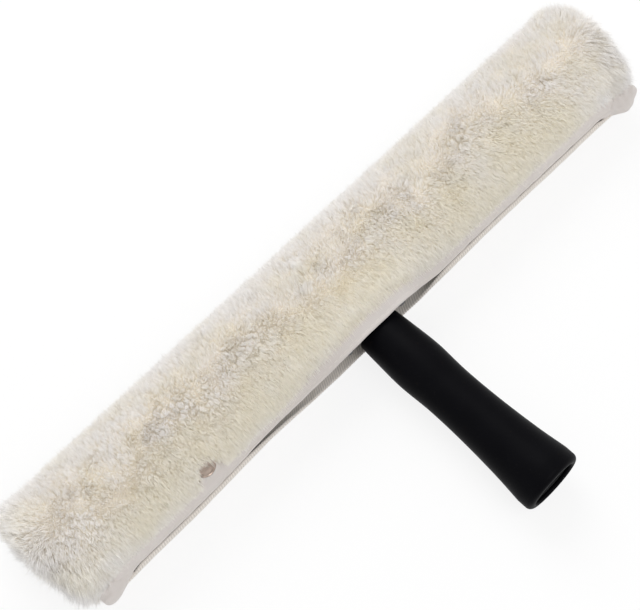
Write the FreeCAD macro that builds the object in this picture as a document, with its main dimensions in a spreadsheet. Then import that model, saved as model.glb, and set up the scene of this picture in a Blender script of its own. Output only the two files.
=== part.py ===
import FreeCAD, Part
import math
import os

import Sketcher

# Window scrubber: a plush sleeve closed by one press snap, worn by a T-shaped bar with a black grip.
# Lengths in millimetres, angles in degrees. Shapes are drawn about the bar's axis, with the sleeve
# along X, the handle along -Y and the front of the sleeve towards +Z. The whole tool is then lifted so
# that the flat back of the sleeve and the rim of the grip lie on the floor plane.

SIZES = {
    # crossbar, a flat oval tube with drain slots
    "bar_length": 314.0,
    "bar_width": 34.0,
    "bar_height": 18.0,
    "bar_wall": 1.6,
    "slot_length": 16.0,
    "slot_width": 6.0,
    "slot_start": 44.0,
    "slot_pitch": 26.0,
    "slot_count": 4,
    # plugs in the two ends of the crossbar
    "plug_cap": 3.5,
    "plug_depth": 10.0,
    "plug_wall": 2.0,
    "plug_fit": 0.05,
    "plug_round": 1.5,
    # saddle that seats on the bar, and the core of the handle
    "saddle_length": 44.0,
    "saddle_height": 13.0,
    "saddle_wall": 2.5,
    "saddle_round": 2.0,
    "seat_fit": 0.05,
    "core_radius": 9.6,
    "core_root": 1.2,
    "core_cone_length": 23.0,
    "core_cone_step": 0.5,
    "core_mouth_radius": 12.0,
    "core_inset": 2.0,
    # socket for the tip of a pole
    "socket_radius": 10.5,
    "socket_length": 24.0,
    "socket_cone_length": 24.0,
    "socket_tip_radius": 7.4,
    "socket_tip_length": 27.5,
    # grip
    "grip_root": 5.5,
    "grip_neck_radius": 11.2,
    "grip_shoulder_run": 10.5,
    "grip_shoulder_radius": 11.9,
    "grip_swell_run": 15.0,
    "grip_swell_radius": 12.6,
    "grip_waist_run": 17.0,
    "grip_waist_radius": 11.9,
    "grip_heel_run": 19.0,
    "grip_heel_radius": 12.3,
    "grip_flare_run": 20.0,
    "grip_flare_radius": 13.6,
    "grip_rim_run": 14.5,
    "grip_rim_radius": 15.2,
    "grip_lip_run": 7.0,
    "grip_fit": 0.05,
    "mouth_radius": 11.3,
    "lip_round": 2.6,
    "mouth_round": 1.0,
    "overcut": 5.0,
    # screws that hold the saddle to the bar
    "screw_pitch": 33.0,
    "screw_radius": 1.5,
    "screw_head_radius": 2.8,
    "screw_head_height": 2.0,
    "screw_tail": 1.0,
    "washer_radius": 3.3,
    "washer_thick": 0.6,
    "hole_fit": 0.05,
    "nut_plate_length": 46.0,
    "nut_plate_height": 8.0,
    "nut_plate_thick": 3.5,
    # plush sleeve
    "sleeve_play": 3.0,
    "sleeve_gap": 0.4,
    "end_pile": 14.0,
    "end_round": 12.0,
    "pile_reach": 34.0,
    "pile_crown": 23.4,
    "pile_middle_y": 6.0,
    "pile_middle_z": 3.0,
    "crown_centre": 4.0,
    "crown_front_run": 13.0,
    "crown_front_drop": 0.9,
    "crown_rear_run": 11.0,
    "crown_rear_drop": 0.7,
    "nose_height": 3.0,
    "nose_inset": 6.2,
    "nose_drop": 8.6,
    "sole_rear_inset": 14.0,
    "sole_rear_round": 3.4,
    "sole_rear_rise": 6.4,
    "sole_front_inset": 7.0,
    "sole_front_round": 1.8,
    "sole_front_rise": 2.1,
    "shoulder_inset": 3.0,
    "shoulder_drop": 5.4,
    "hem_face": 21.0,
    "hem_face_height": 18.0,
    # hem tapes and the slit between them
    "tape_width": 10.5,
    "tape_thick": 1.3,
    "tape_stop": 6.0,
    "tape_gap": 0.35,
    "slit_half": 0.4,
    "hem_edge": 25.3,
    "hem_angle": 55.0,
    "neck_angle": 35.0,
    "neck_clear": 0.5,
    "rear_neck_edge": 22.0,
    "rear_neck_angle": 5.0,
    "slit_left": 82.0,
    "slit_right": 38.0,
    "tab_length": 12.0,
    "tab_reach": 8.0,
    "tab_fold_gap": 1.4,
    # press snap
    "snap_at": 98.6,
    "snap_rise": 15.3,
    "dimple_radius": 8.0,
    "cap_radius": 4.7,
    "cap_height": 1.9,
    "post_radius": 1.4,
    "socket_ring_radius": 4.2,
    "socket_ring_height": 2.0,
    "socket_plate": 0.6,
    "stud_radius": 1.9,
    "stud_height": 1.0,
    "stud_flange_radius": 4.0,
    "stud_flange": 0.5,
    "snap_gap": 0.1,
    "spring_wire": 0.22,
    "rivet_radius": 1.0,
    "rivet_flange_radius": 3.4,
    "clench_rim": 0.3,
    "lug_overlap": 2.0,
    "socket_ring_bevel": 0.5,
    "spring_play": 0.15,
    "spring_rise": 0.25,
    "stud_undercut": 0.2,
    "stud_taper": 0.3,
    "rivet_inset": 0.2,
    "tongue_root": 8.0,
    "tongue_skin": 0.1,
    "tongue_tip_flat": 0.05,
}

doc = FreeCAD.newDocument("window_scrubber")
sheet = doc.addObject("Spreadsheet::Sheet", "Sizes")
for row, (name, number) in enumerate(SIZES.items(), start=1):
    sheet.set(f"A{row}", name)
    sheet.set(f"B{row}", str(number))
    sheet.setAlias(f"B{row}", name)
doc.recompute()


class Size:
    """A length or an angle: its number now, and the sheet formula that drives it."""

    def __init__(self, number, formula):
        self.number = number
        self.formula = formula

    def __add__(self, other):
        other = as_size(other)
        return Size(self.number + other.number, f"({self.formula} + {other.formula})")

    def __sub__(self, other):
        other = as_size(other)
        return Size(self.number - other.number, f"({self.formula} - {other.formula})")

    def __mul__(self, other):
        other = as_size(other)
        return Size(self.number * other.number, f"({self.formula} * {other.formula})")

    def __truediv__(self, other):
        other = as_size(other)
        return Size(self.number / other.number, f"({self.formula} / {other.formula})")

    def __neg__(self):
        return Size(-self.number, f"(0 - {self.formula})")


def as_size(value):
    if isinstance(value, Size):
        return value
    return Size(float(value), repr(float(value)))


def size(name):
    return Size(float(SIZES[name]), f"Sizes.{name}")


def cosine(angle):
    return Size(math.cos(math.radians(angle.number)), f"cos({angle.formula})")


def sine(angle):
    return Size(math.sin(math.radians(angle.number)), f"sin({angle.formula})")


def root(value):
    return Size(math.sqrt(value.number), f"sqrt({value.formula})")


# tied sizes
bar_half = size("bar_length") / 2
bar_tip = size("bar_width") / 2
bar_round = size("bar_height") / 2
bar_flat = bar_tip - bar_round
pocket_half = bar_half + size("plug_cap") + size("sleeve_play")
sleeve_half = pocket_half + size("end_pile")
tape_reach = pocket_half - size("tape_stop")
saddle_back = bar_tip + size("saddle_wall")
grip_stations = [bar_tip + size("grip_root")]
for place in ("shoulder", "swell", "waist", "heel", "flare", "rim"):
    grip_stations.append(grip_stations[-1] + size(f"grip_{place}_run"))
handle_reach = grip_stations[-1] + size("grip_lip_run")
core_end = handle_reach - size("core_inset")
socket_floor = core_end - size("socket_length")
socket_bottom = socket_floor - size("socket_cone_length") - size("socket_tip_length")
core_cone_end = socket_floor - size("core_cone_step")
core_cone_start = core_cone_end - size("core_cone_length")
tool_shift = (handle_reach - size("pile_reach")) / 2
floor_drop = size("grip_rim_radius")
screw_x = size("screw_pitch") / 2
neck_half = size("grip_neck_radius") + size("sleeve_play") + size("neck_clear")
neck_rise = size("grip_shoulder_radius") + size("neck_clear")
snap_y = size("snap_rise") * cosine(size("hem_angle")) - size("hem_edge")
snap_z = size("snap_rise") * sine(size("hem_angle")) + size("slit_half")
tongue_face = size("socket_ring_height") + size("snap_gap") + size("stud_flange")


def bind(thing, target, value):
    thing.setExpression(target, as_size(value).formula)


def new_body(label, shift=None, lean=None):
    """A body carried by the bar's axis; shift and lean set it off from that axis."""
    made = doc.addObject("PartDesign::Body", label)
    made.Label = label
    made.AllowCompound = True
    base = shift or (as_size(0), as_size(0), as_size(0))
    if lean:
        spin = FreeCAD.Rotation(FreeCAD.Vector(1, 0, 0), lean.number)
        made.Placement = FreeCAD.Placement(FreeCAD.Vector(), spin)
        bind(made, "Placement.Rotation.Angle", lean)
    bind(made, "Placement.Base.x", base[0])
    bind(made, "Placement.Base.y", tool_shift + base[1])
    bind(made, "Placement.Base.z", floor_drop + base[2])
    return made


def new_sketch(body, plane, at=None, turn=None, axis=(0, 0, 1)):
    """A sketch on one of the body's planes, moved by `at` and turned about `axis` in that plane's frame."""
    drawn = body.newObject("Sketcher::SketchObject", "Sketch")
    support = [item for item in body.Origin.OriginFeatures if item.Role == plane][0]
    drawn.AttachmentSupport = (support, [""])
    drawn.MapMode = "FlatFace"
    if turn:
        spin = FreeCAD.Rotation(FreeCAD.Vector(*axis), turn.number)
        drawn.AttachmentOffset = FreeCAD.Placement(FreeCAD.Vector(), spin)
        bind(drawn, "AttachmentOffset.Rotation.Angle", turn)
    for letter, value in zip("xyz", at or ()):
        bind(drawn, f"AttachmentOffset.Base.{letter}", value)
    return drawn


def point(values):
    return FreeCAD.Vector(as_size(values[0]).number, as_size(values[1]).number, 0)


def fix_point(drawn, geometry, end, values):
    """Tie one end of a drawn line, arc or point to its two sheet formulas."""
    for kind, value in zip(("DistanceX", "DistanceY"), values):
        value = as_size(value)
        index = drawn.addConstraint(Sketcher.Constraint(kind, -1, 1, geometry, end, value.number))
        bind(drawn, f"Constraints[{index}]", value)


def closed_outline(drawn, corners):
    """Join the corners in order; a corner written as (through, end) is reached by an arc."""
    ends = [corner[1] if isinstance(corner[0], tuple) else corner for corner in corners]
    for index, corner in enumerate(corners):
        start = ends[index - 1]
        if isinstance(corner[0], tuple):
            through = corner[0]
            curve = Part.Arc(point(start), point(through), point(ends[index]))
            edge = drawn.addGeometry(curve, False)
            gaps = [(drawn.getPoint(edge, end) - point(start)).Length for end in (1, 2)]
            first = 1 if gaps[0] <= gaps[1] else 2
            mark = drawn.addGeometry(Part.Point(point(through)), True)
            fix_point(drawn, mark, 1, through)
            drawn.addConstraint(Sketcher.Constraint("PointOnObject", mark, 1, edge))
            fix_point(drawn, edge, first, start)
            fix_point(drawn, edge, 3 - first, ends[index])
        else:
            edge = drawn.addGeometry(Part.LineSegment(point(start), point(ends[index])), False)
            fix_point(drawn, edge, 1, start)
            fix_point(drawn, edge, 2, ends[index])


def circle(drawn, centre, radius):
    radius = as_size(radius)
    edge = drawn.addGeometry(Part.Circle(point(centre), FreeCAD.Vector(0, 0, 1), radius.number), False)
    fix_point(drawn, edge, 3, centre)
    index = drawn.addConstraint(Sketcher.Constraint("Radius", edge, radius.number))
    bind(drawn, f"Constraints[{index}]", radius)


def box(drawn, low, high):
    closed_outline(drawn, [(low[0], low[1]), (high[0], low[1]), (high[0], high[1]), (low[0], high[1])])


def flat_oval(drawn, tip, half_height):
    flat = tip - half_height
    closed_outline(drawn, [
        (-flat, half_height),
        ((-tip, as_size(0)), (-flat, -half_height)),
        (flat, -half_height),
        ((tip, as_size(0)), (flat, half_height)),
    ])


def pad(body, drawn, length, both=False, backwards=False):
    made = body.newObject("PartDesign::Pad", "Pad")
    made.Profile = drawn
    made.SideType = "Symmetric" if both else "One side"
    made.Reversed = backwards
    bind(made, "Length", length)
    return made


def pocket(body, drawn, length=None, both=False, backwards=False):
    made = body.newObject("PartDesign::Pocket", "Pocket")
    made.Profile = drawn
    made.SideType = "Symmetric" if both else "One side"
    made.Reversed = backwards
    if length is None:
        made.Type = "ThroughAll"
    else:
        bind(made, "Length", length)
    return made


def turned(body, drawn):
    made = body.newObject("PartDesign::Revolution", "Revolution")
    made.Profile = drawn
    made.ReferenceAxis = (drawn, ["V_Axis"])
    made.Angle = 360
    return made


def lofted(body, sections, straight):
    made = body.newObject("PartDesign::AdditiveLoft", "Loft")
    made.Profile = sections[0]
    made.Sections = sections[1:]
    made.Ruled = straight
    return made


def rounded(body, base, radius, wanted):
    """Round the edges of `base` whose middle point passes the test."""
    doc.recompute()
    names = []
    for index, edge in enumerate(base.Shape.Edges, start=1):
        middle = edge.valueAt((edge.FirstParameter + edge.LastParameter) / 2)
        if wanted(edge, middle):
            names.append(f"Edge{index}")
    made = body.newObject("PartDesign::Fillet", "Fillet")
    made.Base = (base, names)
    bind(made, "Radius", radius)
    return made


def close_to(first, second):
    return abs(first - second) < 1e-3


# crossbar
crossbar = new_body("crossbar")
section = new_sketch(crossbar, "YZ_Plane")
flat_oval(section, bar_tip, bar_round)
flat_oval(section, bar_tip - size("bar_wall"), bar_round - size("bar_wall"))
pad(crossbar, section, size("bar_length"), both=True)
slots = new_sketch(crossbar, "XY_Plane")
slot_half = size("slot_width") / 2
slot_run = size("slot_length") / 2 - slot_half
for side in (-1, 1):
    for number in range(int(SIZES["slot_count"])):
        middle = (size("slot_start") + size("slot_pitch") * number) * side
        closed_outline(slots, [
            (middle - slot_run, slot_half),
            ((middle - slot_run - slot_half, as_size(0)), (middle - slot_run, -slot_half)),
            (middle + slot_run, -slot_half),
            ((middle + slot_run + slot_half, as_size(0)), (middle + slot_run, slot_half)),
        ])
pocket(crossbar, slots, size("bar_height") * 2, both=True)
bolt_holes = new_sketch(crossbar, "XZ_Plane")
for side in (-1, 1):
    circle(bolt_holes, (screw_x * side, as_size(0)), size("screw_radius") + size("hole_fit"))
pocket(crossbar, bolt_holes, backwards=True)


# end plugs, each a cap with a hollow spigot
def end_plug(label, side):
    plug = new_body(label)
    start = (as_size(0), as_size(0), bar_half * side)
    cap = new_sketch(plug, "YZ_Plane", at=start)
    flat_oval(cap, bar_tip, bar_round)
    base = pad(plug, cap, size("plug_cap"), backwards=side < 0)
    face = (bar_half.number + SIZES["plug_cap"]) * side
    rounded(plug, base, size("plug_round"), lambda edge, middle: close_to(middle.x, face))
    inset = size("bar_wall") + size("plug_fit")
    spigot = new_sketch(plug, "YZ_Plane", at=start)
    flat_oval(spigot, bar_tip - inset, bar_round - inset)
    flat_oval(spigot, bar_tip - inset - size("plug_wall"), bar_round - inset - size("plug_wall"))
    pad(plug, spigot, size("plug_depth"), backwards=side > 0)


end_plug("end_plug_left", -1)
end_plug("end_plug_right", 1)

# yoke: a saddle with a hollow seat for the bar, and the turned core of the handle with its pole socket
yoke = new_body("handle_yoke")
seat_radius = bar_round + size("seat_fit")
saddle_half = size("saddle_height") / 2
seat_corner = bar_flat + root(seat_radius * seat_radius - saddle_half * saddle_half)
saddle = new_sketch(yoke, "YZ_Plane")
closed_outline(saddle, [
    ((-(bar_flat + seat_radius), as_size(0)), (-seat_corner, saddle_half)),
    (-saddle_back, saddle_half),
    (-saddle_back, -saddle_half),
    (-seat_corner, -saddle_half),
])
block = pad(yoke, saddle, size("saddle_length"), both=True)
saddle_end = SIZES["saddle_length"] / 2
rounded(
    yoke, block, size("saddle_round"),
    lambda edge, middle: close_to(abs(middle.x), saddle_end) and close_to(middle.y, -saddle_back.number),
)
core = new_sketch(yoke, "XY_Plane")
closed_outline(core, [
    (as_size(0), -(bar_tip + size("core_root"))),
    (size("core_radius"), -(bar_tip + size("core_root"))),
    (size("core_radius"), -core_cone_start),
    (size("core_mouth_radius"), -core_cone_end),
    (size("core_mouth_radius"), -core_end),
    (size("socket_radius"), -core_end),
    (size("socket_radius"), -socket_floor),
    (size("socket_tip_radius"), -(socket_floor - size("socket_cone_length"))),
    (size("socket_tip_radius"), -socket_bottom),
    (as_size(0), -socket_bottom),
])
turned(yoke, core)
saddle_holes = new_sketch(yoke, "XZ_Plane")
for side in (-1, 1):
    circle(saddle_holes, (screw_x * side, as_size(0)), size("screw_radius") + size("hole_fit"))
pocket(yoke, saddle_holes, backwards=True)

# grip: lofted through round sections, with a straight rim and a soft lip
grip = new_body("grip")
grip_rings = []
for station, place in zip(grip_stations, ("neck", "shoulder", "swell", "waist", "heel", "flare", "rim")):
    ring = new_sketch(grip, "XZ_Plane", at=(as_size(0), as_size(0), station))
    circle(ring, (as_size(0), as_size(0)), size(f"grip_{place}_radius"))
    grip_rings.append(ring)
lofted(grip, grip_rings, False)
rim = new_sketch(grip, "XZ_Plane", at=(as_size(0), as_size(0), grip_stations[-1]))
circle(rim, (as_size(0), as_size(0)), size("grip_rim_radius"))
pad(grip, rim, size("grip_lip_run"))
hollow = new_sketch(grip, "XY_Plane")
core_room = size("core_radius") + size("grip_fit")
mouth_room = size("core_mouth_radius") + size("grip_fit")
closed_outline(hollow, [
    (as_size(0), -(grip_stations[0] - size("overcut"))),
    (core_room, -(grip_stations[0] - size("overcut"))),
    (core_room, -core_cone_start),
    (mouth_room, -core_cone_end),
    (mouth_room, -(core_end + size("grip_fit"))),
    (size("mouth_radius"), -(core_end + size("grip_fit"))),
    (size("mouth_radius"), -(handle_reach + size("overcut"))),
    (as_size(0), -(handle_reach + size("overcut"))),
])
room = grip.newObject("PartDesign::Groove", "Groove")
room.Profile = hollow
room.ReferenceAxis = (hollow, ["V_Axis"])
room.Angle = 360
grip_end = -handle_reach.number
mouth_edge = SIZES["mouth_radius"]
outer_lip = rounded(
    grip, room, size("lip_round"),
    lambda edge, middle: close_to(middle.y, grip_end) and edge.Curve.Radius > SIZES["core_mouth_radius"],
)
rounded(
    grip, outer_lip, size("mouth_round"),
    lambda edge, middle: close_to(middle.y, grip_end) and close_to(edge.Curve.Radius, mouth_edge),
)


# screws, washers and the nut plate that hold the saddle to the bar
def on_both_sides(body, feature):
    """Repeat a feature on the other side of the handle."""
    made = body.newObject("PartDesign::Mirrored", "Mirrored")
    made.Originals = [feature]
    made.MirrorPlane = ([item for item in body.Origin.OriginFeatures if item.Role == "YZ_Plane"][0], [""])
    body.Tip = made


plate_corner = root(
    (bar_round - size("bar_wall")) * (bar_round - size("bar_wall"))
    - size("nut_plate_height") * size("nut_plate_height") / 4
)
plate_face = bar_flat + plate_corner - size("plug_fit")
plate_back = plate_face - size("nut_plate_thick")
head_seat = saddle_back + size("washer_thick")
screws = new_body("yoke_screws")
shaft = new_sketch(screws, "XY_Plane", at=(screw_x, as_size(0), as_size(0)))
closed_outline(shaft, [
    (as_size(0), -(plate_back - size("screw_tail"))),
    (size("screw_radius"), -(plate_back - size("screw_tail"))),
    (size("screw_radius"), -head_seat),
    (size("screw_head_radius"), -head_seat),
    (size("screw_head_radius"), -(head_seat + size("screw_head_height") / 2)),
    (size("screw_head_radius") / 2, -(head_seat + size("screw_head_height"))),
    (as_size(0), -(head_seat + size("screw_head_height"))),
])
on_both_sides(screws, turned(screws, shaft))
washers = new_body("yoke_washers")
ring = new_sketch(washers, "XZ_Plane", at=(screw_x, as_size(0), saddle_back))
circle(ring, (as_size(0), as_size(0)), size("washer_radius"))
circle(ring, (as_size(0), as_size(0)), size("screw_radius") + size("hole_fit"))
on_both_sides(washers, pad(washers, ring, size("washer_thick")))
nut_plate = new_body("nut_plate")
plate = new_sketch(nut_plate, "XZ_Plane", at=(as_size(0), as_size(0), plate_back))
plate_half = (size("nut_plate_length") / 2, size("nut_plate_height") / 2)
box(plate, (-plate_half[0], -plate_half[1]), plate_half)
for side in (-1, 1):
    circle(plate, (screw_x * side, as_size(0)), size("screw_radius") + size("hole_fit"))
pad(nut_plate, plate, size("nut_plate_thick"))

# plush sleeve: the envelope of the pile, flat where it lies on the floor
sleeve = new_body("pile_sleeve")
pile_middle = (size("pile_middle_y"), size("pile_middle_z"))


def pile_outline(drawn, share):
    """The sleeve's outline across the bar, drawn in towards its middle by `share`."""
    def inward(y, z):
        return (pile_middle[0] + (as_size(y) - pile_middle[0]) * share,
                pile_middle[1] + (as_size(z) - pile_middle[1]) * share)

    hem = -size("hem_face")
    hem_top = size("hem_face_height") / 2
    crown = size("pile_crown")
    centre = size("crown_centre")
    reach = size("pile_reach")
    closed_outline(drawn, [
        inward(hem, hem_top),
        (inward(hem + size("shoulder_inset"), crown - size("shoulder_drop")),
         inward(centre - size("crown_front_run"), crown - size("crown_front_drop"))),
        (inward(centre, crown),
         inward(centre + size("crown_rear_run"), crown - size("crown_rear_drop"))),
        (inward(reach - size("nose_inset"), crown - size("nose_drop")),
         inward(reach, size("nose_height"))),
        (inward(reach - size("sole_rear_round"), size("sole_rear_rise") - floor_drop),
         inward(reach - size("sole_rear_inset"), -floor_drop)),
        inward(hem + size("sole_front_inset"), -floor_drop),
        (inward(hem + size("sole_front_round"), size("sole_front_rise") - floor_drop),
         inward(hem, -hem_top)),
    ])


middle_section = new_sketch(sleeve, "YZ_Plane")
pile_outline(middle_section, 1.0)
straight_half = sleeve_half - size("end_round")
pad(sleeve, middle_section, straight_half * 2, both=True)
for side in (-1, 1):
    steps = []
    for along, share in ((0.0, 1.0), (0.4, 0.975), (0.78, 0.89), (1.0, 0.75)):
        station = (straight_half + size("end_round") * along) * side
        steps.append(new_sketch(sleeve, "YZ_Plane", at=(as_size(0), as_size(0), station)))
        pile_outline(steps[-1], share)
    lofted(sleeve, steps, False)
cavity = new_sketch(sleeve, "YZ_Plane")
flat_oval(cavity, bar_tip + size("sleeve_gap"), bar_round + size("sleeve_gap"))
pocket(sleeve, cavity, pocket_half * 2, both=True)

# stations of the two hem tapes along the sleeve: place, spread of the slit (0 shut, 1 round the neck)
TAPE_STATIONS = (
    (-tape_reach, 0.0),
    (-size("slit_left"), 0.0),
    (-(size("slit_left") * 0.55 + neck_half * 0.45), 0.38),
    (-neck_half, 1.0),
    (neck_half, 1.0),
    (size("slit_right") * 0.5 + neck_half * 0.5, 0.5),
    (size("slit_right"), 0.0),
    (tape_reach, 0.0),
)


def between(shut, spread, share):
    return as_size(shut) + (as_size(spread) - as_size(shut)) * share


def hem_window(sign, shut, spread, from_y):
    """Open the hem side of the sleeve where one tape lies, from `from_y` outwards."""
    opening = new_sketch(sleeve, "XZ_Plane", at=(as_size(0), as_size(0), from_y))
    edge = tape_reach + size("tape_gap")
    corner = shut * sign
    bends = [(place, between(shut, spread, share) * sign) for place, share in TAPE_STATIONS[1:-1]]
    outline = [(-edge, as_size(0)), (-edge, corner)] + bends + [(edge, corner), (edge, as_size(0))]
    closed_outline(opening, outline)
    pocket(sleeve, opening, backwards=True)


tape_top = (
    size("slit_half") + size("tape_width") * sine(size("hem_angle"))
    + size("tape_thick") * cosine(size("hem_angle")) + size("tape_gap")
)
front_width = size("tape_width") * cosine(size("neck_angle"))
front_reach = size("hem_edge") - front_width - size("tape_gap")
hem_window(1, tape_top, size("pile_crown") + size("overcut"), front_reach)
rear_width = size("tape_width") * cosine(size("rear_neck_angle"))
rear_reach = size("rear_neck_edge") - rear_width - size("tape_gap")
hem_window(-1, tape_top, floor_drop + size("overcut"), rear_reach)
mouth = new_sketch(sleeve, "XZ_Plane", at=(as_size(0), as_size(0), rear_reach))
mouth_half = tape_reach + size("tape_gap")
box(mouth, (-mouth_half, -tape_top), (mouth_half, tape_top))
pocket(sleeve, mouth, backwards=True)
dimple = new_sketch(
    sleeve, "XY_Plane", at=(-size("snap_at"), snap_y, snap_z), turn=size("hem_angle"), axis=(1, 0, 0)
)
circle(dimple, (as_size(0), as_size(0)), size("dimple_radius"))
pocket(sleeve, dimple, size("pile_reach") + size("pile_crown"), both=True)


# hem tapes, each a flat strip that leans on the hem and bends round the neck of the handle
def tape_sections(body, sign, neck_edge, neck_angle):
    drawn = []
    for place, share in TAPE_STATIONS:
        lean = between(size("hem_angle"), neck_angle, share)
        rise = between(size("slit_half"), neck_rise, share)
        edge = between(size("hem_edge"), neck_edge, share)
        strip = new_sketch(body, "YZ_Plane", at=(-edge, rise * sign, place), turn=lean * sign)
        box(strip, (as_size(0), as_size(0)), (size("tape_width"), size("tape_thick") * sign))
        drawn.append(strip)
    return drawn


front_tape = new_body("front_hem_tape")
lofted(front_tape, tape_sections(front_tape, 1, size("hem_edge"), size("neck_angle")), True)
snap_frame = (-size("snap_at"), snap_y, snap_z)
tongue_half = size("tape_width") / 2
lug = new_sketch(front_tape, "XY_Plane", at=snap_frame, turn=size("hem_angle"), axis=(1, 0, 0))
lug_foot = size("tape_width") - size("snap_rise") - size("lug_overlap")
closed_outline(lug, [
    (tongue_half, lug_foot),
    (tongue_half, as_size(0)),
    ((as_size(0), tongue_half), (-tongue_half, as_size(0))),
    (-tongue_half, lug_foot),
])
pad(front_tape, lug, size("tape_thick"))
post_hole = new_sketch(front_tape, "XY_Plane", at=snap_frame, turn=size("hem_angle"), axis=(1, 0, 0))
circle(post_hole, (as_size(0), as_size(0)), size("post_radius") + size("hole_fit"))
pocket(front_tape, post_hole, size("tape_thick") * 4, both=True)

rear_tape = new_body("rear_hem_tape")
lofted(rear_tape, tape_sections(rear_tape, -1, size("rear_neck_edge"), size("rear_neck_angle")), True)


# folded tape ends at the two corners of the hem
def corner_tab(label, side):
    tab = new_body(label)
    inner = tape_reach + size("tape_gap")
    outer_half = size("tab_fold_gap") / 2 + size("tape_thick")
    inner_half = size("tab_fold_gap") / 2
    bend = inner + size("tab_length") - outer_half
    face = size("hem_face") + size("tape_gap")
    fold = new_sketch(tab, "XZ_Plane", at=(as_size(0), as_size(0), face))
    closed_outline(fold, [
        (inner * side, outer_half),
        (bend * side, outer_half),
        (((bend + outer_half) * side, as_size(0)), (bend * side, -outer_half)),
        (inner * side, -outer_half),
        (inner * side, -inner_half),
        (bend * side, -inner_half),
        (((bend + inner_half) * side, as_size(0)), (bend * side, inner_half)),
        (inner * side, inner_half),
    ])
    pad(tab, fold, size("tab_reach"))


corner_tab("corner_tab_left", -1)
corner_tab("corner_tab_right", 1)

# press snap, drawn about its own axis: cap and socket on the front tape, stud and rivet on the tongue
ring_bottom = -size("socket_ring_height")
plate_bottom = -size("socket_plate")
stud_seat = -tongue_face
stud_top = stud_seat + size("stud_flange") + size("stud_height")

cap = new_body("snap_cap", snap_frame, size("hem_angle"))
profile = new_sketch(cap, "XZ_Plane")
cap_base = size("tape_thick") + size("hole_fit")
cap_edge = cap_base + size("cap_height") * 0.35
cap_top = cap_base + size("cap_height")
closed_outline(profile, [
    (as_size(0), plate_bottom - size("clench_rim")),
    (size("post_radius") + size("clench_rim"), plate_bottom - size("clench_rim")),
    (size("post_radius") + size("clench_rim"), plate_bottom - size("hole_fit")),
    (size("post_radius"), plate_bottom - size("hole_fit")),
    (size("post_radius"), cap_base),
    (size("cap_radius"), cap_base),
    (size("cap_radius"), cap_edge),
    ((size("cap_radius") * 0.7, cap_top - size("cap_height") * 0.2), (size("cap_radius") * 0.25, cap_top)),
    (as_size(0), cap_top),
])
turned(cap, profile)

ring_room = size("stud_radius") + size("spring_wire") * 2 + size("snap_gap") + size("spring_play")
ring_body = new_body("snap_socket", snap_frame, size("hem_angle"))
profile = new_sketch(ring_body, "XZ_Plane")
closed_outline(profile, [
    (size("post_radius") + size("hole_fit"), as_size(0)),
    (size("post_radius") + size("hole_fit"), plate_bottom),
    (ring_room, plate_bottom),
    (ring_room, ring_bottom),
    (size("socket_ring_radius") - size("socket_ring_bevel"), ring_bottom),
    (size("socket_ring_radius"), ring_bottom * 0.45),
    (size("socket_ring_radius"), as_size(0)),
])
turned(ring_body, profile)

spring = new_body("snap_spring", snap_frame, size("hem_angle"))
profile = new_sketch(spring, "XZ_Plane")
spring_middle = size("stud_radius") + size("snap_gap") + size("spring_wire")
spring_height = ring_bottom + size("spring_wire") + size("spring_rise")
circle(profile, (spring_middle, spring_height), size("spring_wire"))
turned(spring, profile)

stud = new_body("snap_stud", snap_frame, size("hem_angle"))
profile = new_sketch(stud, "XZ_Plane")
bore = size("rivet_radius") + size("hole_fit")
stud_neck = size("stud_radius") - size("stud_undercut")
closed_outline(profile, [
    (bore, stud_seat),
    (size("stud_flange_radius"), stud_seat),
    (size("stud_flange_radius"), stud_seat + size("stud_flange")),
    (stud_neck, stud_seat + size("stud_flange")),
    (stud_neck, stud_seat + size("stud_flange") + size("stud_height") * 0.45),
    (size("stud_radius"), stud_seat + size("stud_flange") + size("stud_height") * 0.6),
    (size("stud_radius") - size("stud_taper"), stud_top),
    (bore, stud_top),
])
turned(stud, profile)

rivet = new_body("snap_rivet", snap_frame, size("hem_angle"))
profile = new_sketch(rivet, "XZ_Plane")
rivet_seat = stud_seat - size("tape_thick") - size("hole_fit")
rivet_top = stud_top - size("rivet_inset")
closed_outline(profile, [
    (as_size(0), rivet_top),
    (as_size(0), rivet_seat - size("stud_flange")),
    (size("rivet_flange_radius"), rivet_seat - size("stud_flange")),
    (size("rivet_flange_radius"), rivet_seat),
    (size("rivet_radius"), rivet_seat),
    (size("rivet_radius"), rivet_top),
])
turned(rivet, profile)

# tongue: a strip of the same tape, sewn inside the rear tape and rising behind the front one to the stud
tongue = new_body("snap_tongue", snap_frame, size("hem_angle"))
strip = new_sketch(tongue, "YZ_Plane")
twice = size("hem_angle") * 2
rear_edge = (
    -size("snap_rise") - size("slit_half") * 2 * sine(size("hem_angle")),
    -size("slit_half") * 2 * cosine(size("hem_angle")),
)
inside = (sine(twice), cosine(twice))
down = (cosine(twice), -sine(twice))


def on_rear_tape(depth, along):
    """A point `depth` inside the rear tape's face and `along` it from the slit."""
    across, up = (rear_edge[i] + inside[i] * depth + down[i] * along for i in (0, 1))
    return (across, up)


def at_height(depth, height):
    """The point `depth` inside the rear tape's face that lies at the given height along the snap's axis."""
    along = (rear_edge[1] + inside[1] * depth - height) / sine(twice)
    return on_rear_tape(as_size(depth), along)


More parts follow.
